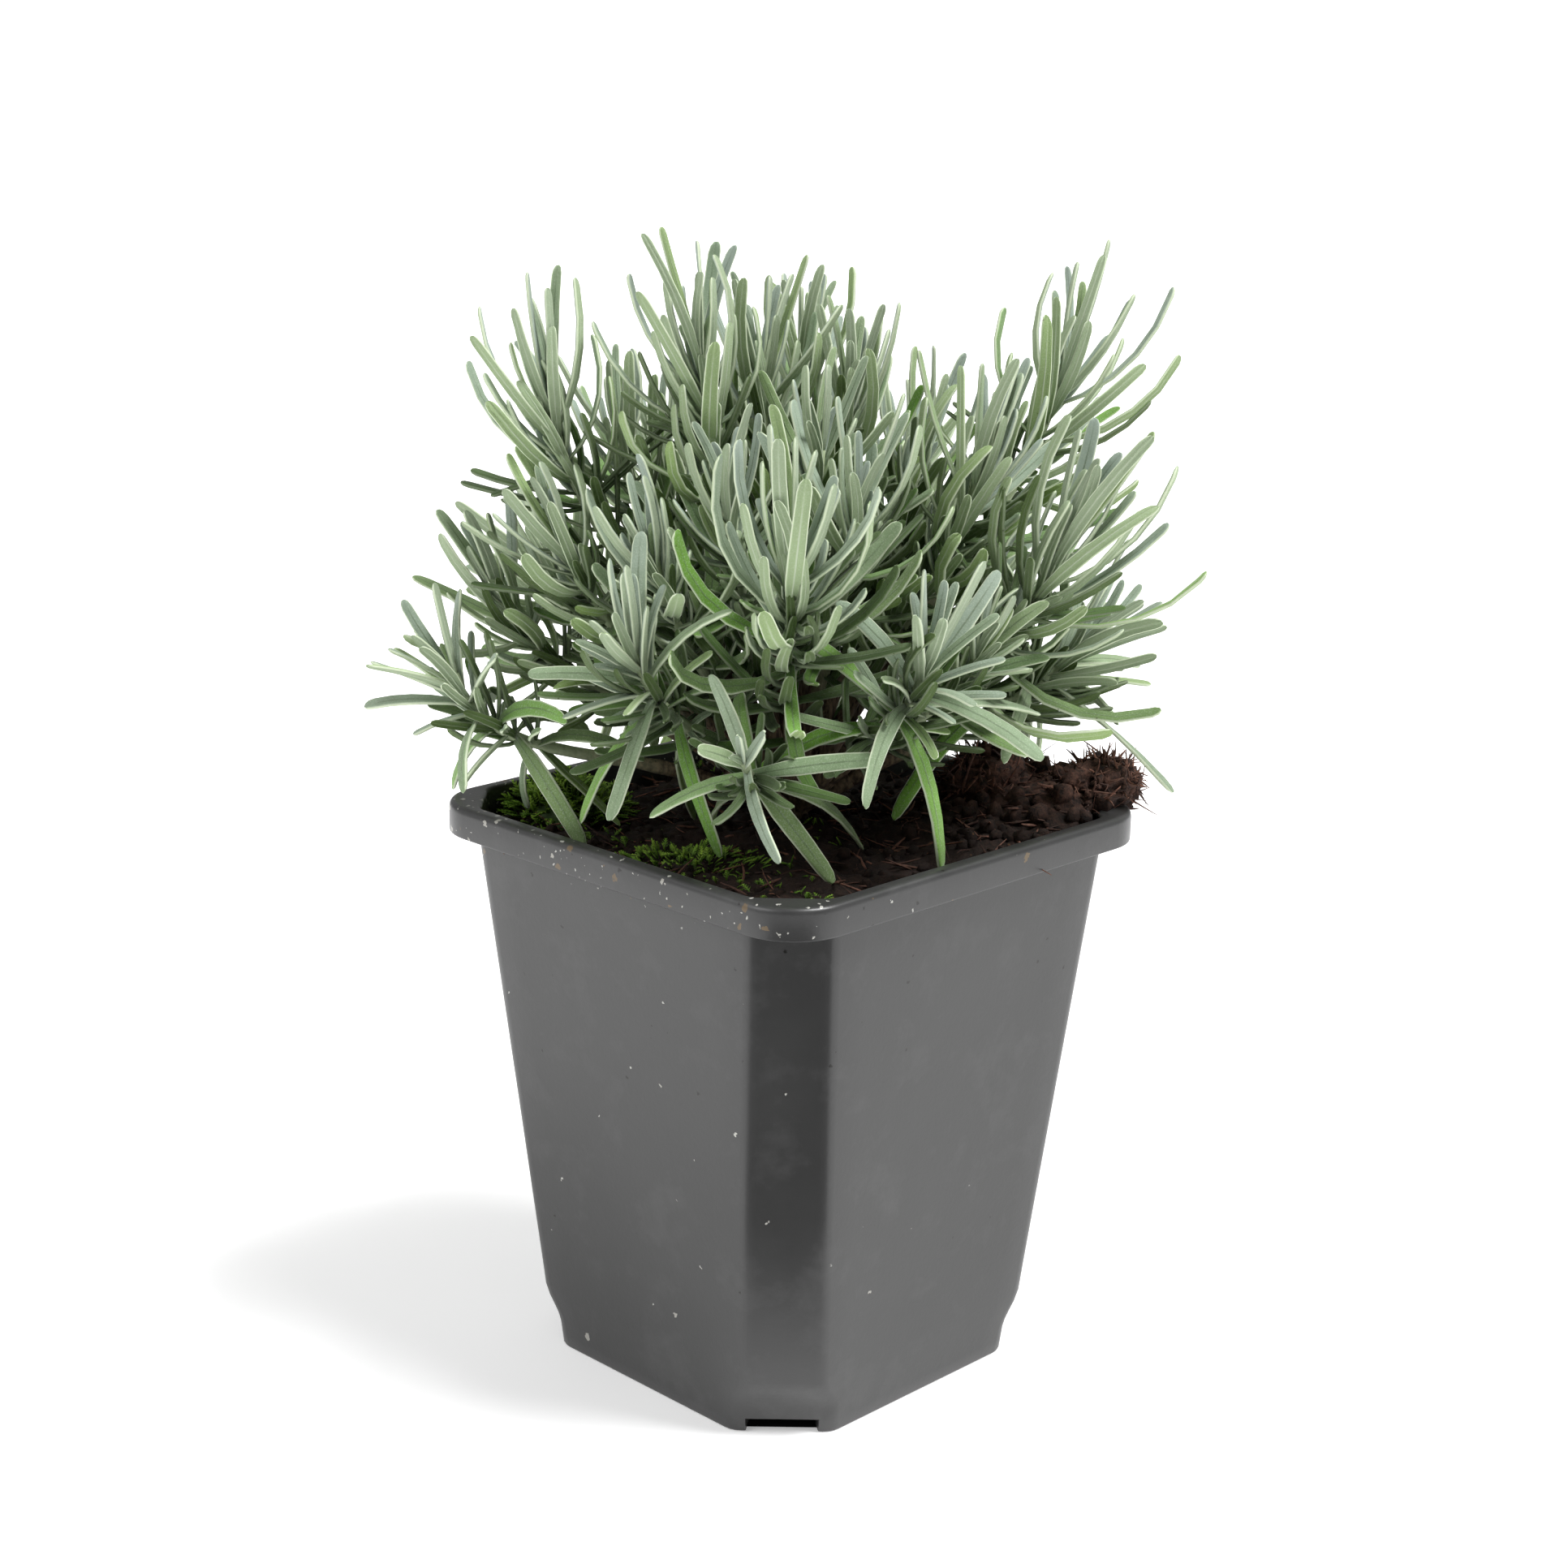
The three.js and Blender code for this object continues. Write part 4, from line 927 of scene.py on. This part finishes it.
def nursery_pot(plastic):
    """One closed surface through rings of the pot's outline: under the base, round the foot edge,
    up the wall, along the underside of the rim, round its skirt and top, and down the inside."""
    rings = []

    def ring(outline, z, lift=0.0, columns=LIFTED):
        heights = np.full(len(outline), float(z))
        over_notch = (np.array(columns) + QUARTER * np.arange(4)[:, None]).ravel()
        heights[over_notch] = np.maximum(heights[over_notch], lift)
        rings.append(np.column_stack([outline, heights]))

    foot = wall_outline(0, 0.5)
    reach = (BASE_HALF * 2 - FOOT_CUT) / math.sqrt(2)
    inner = 1 - NOTCH_DEEP / reach
    ring(foot * 0.4, 0)
    ring(foot * inner, 0)
    ring(foot * inner, 0, NOTCH_HIGH)
    ring(foot, 0, NOTCH_HIGH)
    ring(wall_outline(0.15, 0.15), 0.15, NOTCH_HIGH)
    for z in (0.5, NOTCH_HIGH, FOOT_TOP, 6, 7.4, 9, FOOT_BLEND):
        ring(wall_outline(z), z, NOTCH_HIGH)
    for z in np.linspace(17, 92, 14):
        ring(bowed(wall_outline(z), z), z)
    skirt_foot, under = RIM_TOP - SKIRT_DROP, RIM_TOP - FLANGE
    ring(wall_outline(skirt_foot), skirt_foot)
    ring(wall_outline(under - 0.5), under - 0.5)
    ring(wall_outline(under, -0.3), under)
    ring(round_outline(RIM_HALF - SKIRT_WALL - 0.3, RIM_CORNER - SKIRT_WALL), under)
    ring(round_outline(RIM_HALF - SKIRT_WALL, RIM_CORNER - SKIRT_WALL), under - 0.3)
    ring(round_outline(RIM_HALF - SKIRT_WALL, RIM_CORNER - SKIRT_WALL), skirt_foot + 0.25)
    for back, up in ((0.55, 0.05), (0.25, 0.0), (0.05, 0.12), (0.0, 0.35)):
        ring(round_outline(RIM_HALF - back, RIM_CORNER - back), skirt_foot + up)
    for back, down in ((0.0, 1.2), (0.1, 0.65), (0.35, 0.25), (0.8, 0.03), (1.2, 0.0)):
        ring(round_outline(RIM_HALF - back, RIM_CORNER - back), RIM_TOP - down)
    for inset, down in ((0.35, 0.0), (0.65, 0.05), (0.9, 0.3), (1.0, 0.8), (1.0, 5.0), (1.0, 12.0)):
        ring(wall_outline(RIM_TOP - down, inset), RIM_TOP - down)
    for z in (50, FOOT_BLEND, 7, FOOT_TOP, BASE_THICK):
        ring(wall_outline(z, POT_WALL), z, ROOF_TOP, ROOFED)
    floor_edge = wall_outline(BASE_THICK, POT_WALL)
    roof_edge = 1 - (NOTCH_DEEP + BASE_THICK) / reach
    ring(floor_edge * roof_edge, BASE_THICK, ROOF_TOP, ROOFED)
    ring(floor_edge * roof_edge * 0.98, BASE_THICK)
    points = np.concatenate(rings + [[[0, 0, 0], [0, 0, BASE_THICK]]])
    quads, tris = tube_faces(len(rings), len(foot))
    pot = build_mesh("moulded_pot", points, quads, tris, [plastic])
    pot.data.set_sharp_from_angle(angle=math.radians(50))
    return pot


# ---- Peat, moss and crumbs ----

PEAT_CELLS = 110
PEAT_REACH = 40  # loose things lie this far out along the walls' directions
PEAT_CORNER = 71  # and this far out to the corners, both directions added


def peat_relief(points):
    """How far the peat's surface stands off its level: crumbs over clumps."""
    return (
        0.9 * value_noise(points, 4.5, 1)
        + 0.65 * np.abs(value_noise(points, 2.2, 2))
        + 0.4 * value_noise(points, 1.1, 3)
    )


def peat_top(x, y):
    points = np.stack([x, y, np.zeros_like(x)], -1)
    return peat_height(x, y) + peat_relief(points)


def peat_plug(peat):
    """The top is a square grid drawn in at the corners to the pot's inside, raised to the peat's
    height; its edge goes straight down the inside of the wall to a flat bottom."""
    n = PEAT_CELLS + 1
    u, v = np.meshgrid(np.linspace(-1, 1, n), np.linspace(-1, 1, n), indexing="ij")
    largest = np.maximum(np.maximum(abs(u), abs(v)), 1e-9)
    square = np.maximum((abs(u) + abs(v)) / largest, 1)
    draw = np.minimum(1, (2 - 0.82 * CORNER_CUT / BASE_HALF) / square)
    half = BASE_HALF + DRAFT * PEAT_TOP - POT_WALL - 0.1
    x, y = u * half * draw, v * half * draw
    z = peat_top(x.ravel(), y.ravel()).reshape(n, n)
    z -= 1.6 * smoothstep(largest, 0.9, 1.0) * (chance(x, y) * 0.5 + 0.6)
    top = np.stack([x, y, z], -1).reshape(-1, 3)
    index = np.arange(n * n).reshape(n, n)
    quads = np.stack([index[:-1, :-1], index[1:, :-1], index[1:, 1:], index[:-1, 1:]], -1).reshape(-1, 4)
    edge = np.concatenate([index[:-1, 0], index[-1, :-1], index[:0:-1, -1], index[0, :0:-1]])
    loops, points = [edge], [top]
    count = len(top)
    for z_low, inset in ((70.0, GAP), (FOOT_BLEND, 0.8), (ROOF_TOP + GAP, 2.8)):
        low = top[edge] * ((BASE_HALF + DRAFT * z_low - POT_WALL - inset) / half)
        low[:, 2] = z_low
        points.append(low)
        loops.append(count + np.arange(len(edge)))
        count += len(edge)
    for upper, lower in zip(loops, loops[1:]):
        quads = np.concatenate([
            quads, np.stack([upper, lower, np.roll(lower, -1), np.roll(upper, -1)], -1)
        ])
    points.append([[0, 0, ROOF_TOP + GAP]])
    last = loops[-1]
    tris = np.stack([np.full(len(last), count), np.roll(last, -1), last], -1)
    return build_mesh("peat_surface", np.concatenate(points), quads, tris, [peat])


def scattered(rng, number, inside):
    """Random places on the peat that the given test accepts."""
    x, y = rng.uniform(-PEAT_REACH, PEAT_REACH, (2, number * 6))
    kept = inside(x, y) & (abs(x) + abs(y) < PEAT_CORNER)
    return x[kept][:number], y[kept][:number]


def heaped(x, y):
    side, front = (x + y) / math.sqrt(2), (x - y) / math.sqrt(2)
    return np.exp(-((side - 42) ** 2 + (front + 6) ** 2) / (2 * 16**2))


def add_lump(soup, centre, radii, seed, rings=5, around=8, gnarl=0.35):
    """A closed lump: a sphere of rings between two poles, pushed in and out by noise."""
    tilt = np.linspace(-math.pi / 2, math.pi / 2, rings + 2)
    turn = np.arange(around) * 2 * math.pi / around
    level, swing = np.meshgrid(tilt[1:-1], turn, indexing="ij")
    ball = np.stack([np.cos(level) * np.cos(swing), np.cos(level) * np.sin(swing), np.sin(level)], -1)
    ball = np.concatenate([ball.reshape(-1, 3), [[0, 0, -1], [0, 0, 1]]])
    push = 1 + gnarl * value_noise(ball * 3 + seed * 1.7, 2.1, 4)
    push += 0.6 * gnarl * value_noise(ball * max(radii) + seed, 1.3, 5)
    quads, tris = tube_faces(rings, around)
    values = np.tile([0.5 + 0.5 * chance(seed, 3), 0, 0], (len(ball), 1))
    soup.add(centre + ball * push[:, None] * radii, quads, tris, None, values)


def crumbs_and_fibres(peat, fibre):
    """Loose crumbs, short curled fibres and bark shreds on the peat, more of them on the heap."""
    rng = np.random.default_rng(11)
    soup = Soup()
    x, y = scattered(rng, 420, lambda x, y: rng.random(len(x)) < 0.25 + heaped(x, y))
    for i, z in enumerate(peat_top(x, y)):
        size = rng.uniform(0.5, 1.5) * (1 + 0.6 * heaped(x[i], y[i]))
        radii = size * rng.uniform(0.6, 1.2, 3)
        add_lump(soup, np.array([x[i], y[i], z]), radii, i, 3, 6)
    x, y = scattered(rng, 460, lambda x, y: rng.random(len(x)) < 0.3 + 1.5 * heaped(x, y))
    for i, z in enumerate(peat_top(x, y)):
        turn = rng.uniform(0, 2 * math.pi)
        rise = rng.uniform(-0.1, 0.45)
        length = rng.uniform(2, 7)
        t = np.linspace(0, 1, 5)[:, None]
        ahead = np.array([math.cos(turn), math.sin(turn), rise])
        bend = np.array([-math.sin(turn), math.cos(turn), rng.uniform(-0.6, 0.6)]) * rng.uniform(-0.5, 0.5)
        path = np.array([x[i], y[i], z]) + length * (ahead * t + bend * t * t)
        radius = rng.uniform(0.1, 0.32)
        strand(soup, path, radius * np.array([0.7, 1, 0.9, 0.7, 0.35]), 4, (rng.random(), 0, 0), 1)
    return soup.piece("peat_crumbs_and_fibres", [peat, fibre], ("tint",))


def peat_clod(name, peat, fibre, seed):
    """A clod of lumps pressed together over the lump's place, with fibres that stick out of it."""
    rng = np.random.default_rng(seed)
    side, front, sink, radii = LUMPS[name]
    ground = place(side, front, 0)
    centre = place(side, front, peat_height(ground[0], ground[1]) - sink)
    soup = Soup()
    add_lump(soup, centre, np.array(radii) * 0.82, seed, 22, 36, 0.4)
    for i in range(130):
        way = unit(rng.normal(size=3) + [0, 0, 0.5])
        spot = centre + way * radii * 0.8
        add_lump(soup, spot, rng.uniform(0.4, 1.3) * rng.uniform(0.7, 1.3, 3), seed * 200 + i, 3, 6, 0.8)
        for _ in range(3):
            t = np.linspace(0, 1, 5)[:, None]
            ahead = unit(way + rng.normal(size=3) * 0.7)
            bend = np.cross(ahead, rng.normal(size=3)) * rng.uniform(0.3, 1.0)
            path = spot + rng.uniform(1.2, 3.4) * (ahead * t + bend * t * t)
            radii_along = rng.uniform(0.1, 0.32) * np.array([1, 1, 0.8, 0.6, 0.3])
            strand(soup, path, radii_along, 4, (rng.random(), 0, 0), 1)
    return soup.piece(name + "_crumbly", [peat, fibre], ("tint",))


def add_frond(soup, base, way, length, tint):
    """A moss frond: a thin stalk that tapers to its tip, with short pointed leaflets in pairs, each a
    three-sided spike."""
    t = np.linspace(0, 1, 4)[:, None]
    droop = np.array([0, 0, -0.25])
    path = base + length * (way * t + droop * t * t)
    strand(soup, path, length * np.array([0.07, 0.07, 0.05, 0.02]), 3, (tint, 0, 0))
    across = unit(np.cross(way, UP) + 1e-3)
    at = np.repeat([0.25, 0.45, 0.65, 0.85], 2)[:, None]
    hand = np.tile([1.0, -1.0], 4)[:, None]
    foot = base + length * (way * at + droop * at * at)
    reach = length * 0.34 * (1.15 - at)
    tip = foot + reach * (hand * across + 0.9 * way)
    thick = np.cross(across, way) * length * 0.03
    wide = way * length * 0.07
    points = np.stack([foot - wide, foot + wide, foot + thick, tip], 1).reshape(-1, 3)
    first = np.arange(8)[:, None, None] * 4
    faces = np.array([[0, 1, 3], [1, 2, 3], [2, 0, 3], [0, 2, 1]])
    flipped = faces[:, ::-1]
    tris = (first + np.where(hand[:, :, None] > 0, flipped, faces)).reshape(-1, 3)
    uv = np.stack([np.zeros((8, 4)), at + 0.15 * np.array([0, 0, 0, 1])], -1).reshape(-1, 2)
    soup.add(points, np.zeros((0, 4), int), tris, uv, np.tile([tint, 0, 0], (len(points), 1)))


def moss_tuft(name, moss, number, seed):
    """A cushion of fronds that stand on a low dome and lean outwards, longest in the middle."""
    rng = np.random.default_rng(seed)
    side, front, sink, radii = LUMPS[name]
    ground = place(side, front, 0)
    centre = place(side, front, peat_height(ground[0], ground[1]) - sink)
    soup = Soup()
    dome = np.array([min(radii[:2]) * 0.8, min(radii[:2]) * 0.8, radii[2] * 0.5])
    add_lump(soup, centre, dome, seed, 9, 16)
    for _ in range(number):
        reach = math.sqrt(rng.random())
        turn = rng.uniform(0, 2 * math.pi)
        off = reach * (math.cos(turn) * radii[0] * SIDE + math.sin(turn) * radii[1] * FRONT)
        height = radii[2] * 0.75 * math.sqrt(max(0, 1 - reach * reach))
        base = np.array([*(centre + off)[:2], 0])
        base[2] = peat_height(base[0], base[1]) - sink + height * rng.uniform(0.5, 1) + 0.3
        way = unit(off / max(radii) * 1.1 + rng.normal(size=3) * 0.35 + UP * 0.8)
        tint = rng.random() * (0.4 + 0.8 * height / radii[2])
        add_frond(soup, base, way, rng.uniform(0.45, 0.95) * radii[2] * (1.15 - 0.4 * reach), tint)
    return soup.piece(name + "_fronds", [moss], ("tint",))


def scattered_moss(moss):
    """Stray fronds along the left and front edges of the peat."""
    rng = np.random.default_rng(21)
    soup = Soup()

    def mossy(x, y):
        side, front = (x + y) / math.sqrt(2), (x - y) / math.sqrt(2)
        patch = value_noise(np.stack([x, y, 0 * x], -1), 7.0, 6)
        return (patch + 0.5 * (front - side) / 60 > 0.42) & (side < 18)

    x, y = scattered(rng, 190, mossy)
    for i, z in enumerate(peat_top(x, y)):
        way = unit(rng.normal(size=3) * 0.8 + UP * 0.9)
        add_frond(soup, np.array([x[i], y[i], z - 0.3]), way, rng.uniform(1.5, 3.0), rng.random() * 0.4)
    return soup.piece("stray_moss", [moss], ("tint",))


# ---- Stems and leaves ----

BLADE_RINGS = np.array([0.0, 0.2, 0.4, 0.6, 0.8])  # shares of the length before the round end
CAP_RINGS = np.array([0.0, 0.6, 0.92])  # shares of the round end
# A leaf's section: share of the half width, height in mm, and 1 on the upper side. The margins are
# rolled under, the midrib is sunk above and raised below.
SECTION = np.array([
    (-1.0, -0.08, 0.5), (-0.72, 0.36, 1), (0.0, 0.06, 1), (0.72, 0.36, 1), (1.0, -0.08, 0.5),
    (0.76, -0.5, 0), (0.42, -0.08, 0), (0.0, -0.42, 0), (-0.42, -0.08, 0), (-0.76, -0.5, 0),
])


def add_leaf(soup, leaf):
    """The section carried along the leaf's middle line, as wide as the leaf there and thinner
    towards its tip, whose outline is half an ellipse; it is closed at both ends."""
    cap = 0.75 * leaf["width"] / leaf["length"]
    t = np.concatenate([BLADE_RINGS * (1 - cap), 1 - cap + cap * CAP_RINGS])
    middle, across, above = leaf_frames(leaf, t)
    half = leaf["width"] / 2 * blade_share(t)
    half[len(BLADE_RINGS):] *= np.sqrt(1 - CAP_RINGS**2)
    thick = 0.9 * np.minimum(1, half / half.max() * 1.25) * (0.8 + 0.2 * leaf["width"] / 3)
    section = np.stack([half[:, None] * SECTION[:, 0], thick[:, None] * SECTION[:, 1]], -1)
    points = tube_points(middle, across, above, section)
    end, _, _ = leaf_frames(leaf, np.array([0.997]))
    points[-1] = end[0]
    quads, tris = tube_faces(len(t), len(SECTION))
    u = np.concatenate([np.tile(0.5 + 0.5 * SECTION[:, 0], len(t)), [0.5, 0.5]])
    v = np.concatenate([np.repeat(t, len(SECTION)), [0, 1]])
    upper = np.concatenate([np.tile(SECTION[:, 2], len(t)), [0.5, 0.5]])
    values = np.column_stack([np.full(len(u), leaf["age"]), np.full(len(u), leaf["tint"]), upper])
    soup.add(points, quads, tris, np.stack([u, v], -1), values)


def add_stem(soup, stem):
    """A slightly square stem that thins towards its tip, with a swelling at each pair of leaves."""
    t = np.linspace(0, 1, 16)
    radii = (1.25 - 0.6 * t) * (1 + 0.1 * np.sin(t * 40))
    path = stem.at(t)
    along = stem.along(t)
    across = unit(np.cross(along, FRONT))
    above = np.cross(across, along)
    angle = np.arange(8) * math.pi / 4
    circle = np.stack([np.cos(angle), -np.sin(angle)], -1) * (1 + 0.08 * np.cos(4 * angle))[:, None]
    points = tube_points(path, across, above, radii[:, None, None] * circle)
    quads, tris = tube_faces(len(t), 8)
    age = np.concatenate([np.repeat(1 - t, 8), [1, 0]])
    values = np.column_stack([age, np.zeros(len(age)), np.ones(len(age))])
    soup.add(points, quads, tris, None, values, 1)


def leafy_shoot(name, stem, leaves, felt, bark):
    soup = Soup()
    add_stem(soup, stem)
    for leaf in leaves:
        add_leaf(soup, leaf)
    return soup.piece("leafy_" + name, [felt, bark], ("age", "tint", "upper"))


def woody_crown(stems, bark):
    """The short trunk that stands in the peat, its radius uneven with knots, and a stub to each stem."""
    soup = Soup()
    z = np.linspace(TRUNK_FOOT, TRUNK_TOP, 14)
    path = np.stack([0.4 * np.sin(z / 4), 0.4 * np.cos(z / 5), z], -1)
    radii = TRUNK_RADIUS * (0.92 + 0.1 * np.sin(z * 1.7) + 0.05 * np.sin(z * 4.1))
    strand(soup, path, radii, 14, (1, 0, 1))
    for number, stem in enumerate(stems):
        t = np.linspace(0, 1, 6)[:, None]
        path = CROWN_CENTRE + (stem.base + stem.outward * 0.6 - CROWN_CENTRE) * t
        radii = STUB_RADIUS * (1.02 + 0.12 * chance(number, np.arange(6)))
        strand(soup, path, radii, 7, (1, 0, 1))
    return soup.piece("bark_crown", [bark], ("age", "tint", "upper"))


# ---- Putting the plant together ----


def settle(piece, slot, *nodes):
    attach(piece, "root")
    if nodes:
        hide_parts(*nodes)


felt, bark, plastic = leaf_felt(), stem_bark(), pot_plastic()
peat, fibre, moss = moist_peat(), peat_fibre(), feather_moss()

settle(nursery_pot(plastic), "pot_plastic", "nursery_pot")
settle(peat_plug(peat), "peat", "peat_plug")
settle(crumbs_and_fibres(peat, fibre), "peat")
settle(peat_clod("peat_clod_right", peat, fibre, 31), "peat", "peat_clod_right")
settle(peat_clod("peat_clod_inner", peat, fibre, 32), "peat", "peat_clod_inner")
settle(moss_tuft("moss_tuft_left", moss, 420, 41), "moss", "moss_tuft_left")
settle(moss_tuft("moss_tuft_front", moss, 260, 42), "moss", "moss_tuft_front")
settle(scattered_moss(moss), "moss")

bush = Bush()
bush.grow()
bush.fill_in()
settle(woody_crown(bush.stems, bark), "stem_wood", "woody_crown")
for (name, *_), stem, leaves in zip(SHOOTS, bush.stems, bush.leaves):
    settle(leafy_shoot(name, stem, leaves, felt, bark), "leaf_felt", "shoot_" + name)


# ---- Studio ----


def floor():
    """A wide sheet of matt white paper, lit from behind a little, so that shadows on it stay pale."""
    material, shader, add = new_material(
        "white_paper", Roughness=0.9, Specular_IOR_Level=0.1,
        Emission_Color=(1, 1, 1, 1), Emission_Strength=0.3,
    )
    fibres = add("TexNoise", {"Vector": add("TexCoord", {}, "Object"), "Scale": 1 / 0.02, "Detail": 2.0})
    feed(shader, Base_Color=add("Mix", {0: fibres, 6: linear("#f6f6f6"), 7: linear("#f9f9f9")}, 2, **COLOUR))
    corners = [(-9000, -9000, 0), (9000, -9000, 0), (9000, 9000, 0), (-9000, 9000, 0)]
    sheet = build_mesh("paper_sheet", corners, [[0, 1, 2, 3]], (), [material])
    sheet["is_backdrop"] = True


def dark_card():
    """A black card that lies before the pot and is seen only in reflections: the front corner stays
    darker than the walls beside it."""
    material, _, _ = new_material("black_card", Base_Color=(0, 0, 0, 1), Roughness=1.0)
    near, far, wide = 75, 420, 260
    outline = ((-wide, far), (wide, far), (60, near), (-60, near))
    corners = [place(side, front, 0.5) for side, front in outline]
    card = build_mesh("black_card", corners, [[0, 1, 2, 3]], (), [material])
    card.visible_camera = False
    card.visible_diffuse = False
    card.visible_shadow = False
    card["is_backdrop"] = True


def painted_shadow_under_pot():
    """A black sheet under the base as painted shadow: the notches at the foot look dark, like the shade
    under the pot.
    """
    material, _, _ = new_material("painted_shadow_black", Base_Color=(0.002, 0.002, 0.002, 1), Roughness=1.0)
    inset, thickness = 1.2, 0.03
    outline = cut_outline(BASE_HALF - inset, FOOT_CUT)[::-1]
    middle = len(outline)
    points = np.column_stack([np.append(outline, [[0, 0]], axis=0), np.full(middle + 1, thickness)])
    step = np.arange(middle)
    tris = np.stack([np.full(middle, middle), np.roll(step, -1), step], -1)
    build_mesh("painted_shadow_sheet", points, np.zeros((0, 4), int), tris, [material])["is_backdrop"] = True


def soft_sun(name, toward, strength, softness):
    """A distant light so wide that its shadows are soft, and that lights the whole sheet evenly."""
    light = bpy.data.lights.new(name, "SUN")
    light.energy = strength
    light.angle = math.radians(softness)
    lamp = bpy.data.objects.new(name, light)
    bpy.context.scene.collection.objects.link(lamp)
    lamp.rotation_euler = Vector(toward).to_track_quat("Z", "Y").to_euler()


def white_surround():
    """White to the eye; as a light it is dim in front, where the camera stands, and brighter
    elsewhere."""
    world = bpy.data.worlds.new("white_room")
    world.use_nodes = True
    tree = world.node_tree
    add = functools.partial(add_node, tree)
    direction = add("TexCoord", {}, "Generated")
    ahead = add("VectorMath", {0: direction, 1: tuple(FRONT)}, "Value", operation="DOT_PRODUCT")
    glow = add("MapRange", {0: ahead, 1: 0.1, 2: 0.8, 3: 0.42, 4: 0.15})
    seen = add("LightPath", {}, "Is Camera Ray")
    strength = add("Mix", {0: seen, 2: glow, 3: 1.1})
    background = tree.nodes["Background"]
    background.inputs["Color"].default_value = (1, 1, 1, 1)
    tree.links.new(strength, background.inputs["Strength"])
    bpy.context.scene.world = world


def camera():
    """Looks down at the front corner from a little above the plant, tilted by less than a degree."""
    position = Vector((323.97, -330.68, 233.59)) * MM
    target = Vector((-0.85, -0.84, 103.27)) * MM
    ahead = (target - position).normalized()
    level = ahead.cross(Vector((0, 0, 1))).normalized()
    roll = math.radians(0.971)
    right = level * math.cos(roll) + level.cross(ahead) * math.sin(roll)
    above = right.cross(ahead)
    lens = bpy.data.cameras.new("camera")
    lens.sensor_width = 36
    lens.lens = 63.68
    lens.clip_start = 0.01
    view = bpy.data.objects.new("camera", lens)
    bpy.context.scene.collection.objects.link(view)
    view.matrix_world = Matrix.Translation(position) @ Matrix((right, above, -ahead)).transposed().to_4x4()
    bpy.context.scene.camera = view


floor()
dark_card()
painted_shadow_under_pot()
soft_sun("key", place(0.9, 0.18, 1.7), 3.8, 24)
soft_sun("fill", place(-1.0, 0.45, 0.9), 1.3, 40)
white_surround()
camera()
bpy.context.scene.view_settings.view_transform = "Standard"

boxes = {"cad": cad_box, "visual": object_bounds()}
{key: [list(corner) for corner in box] for key, box in boxes.items()}
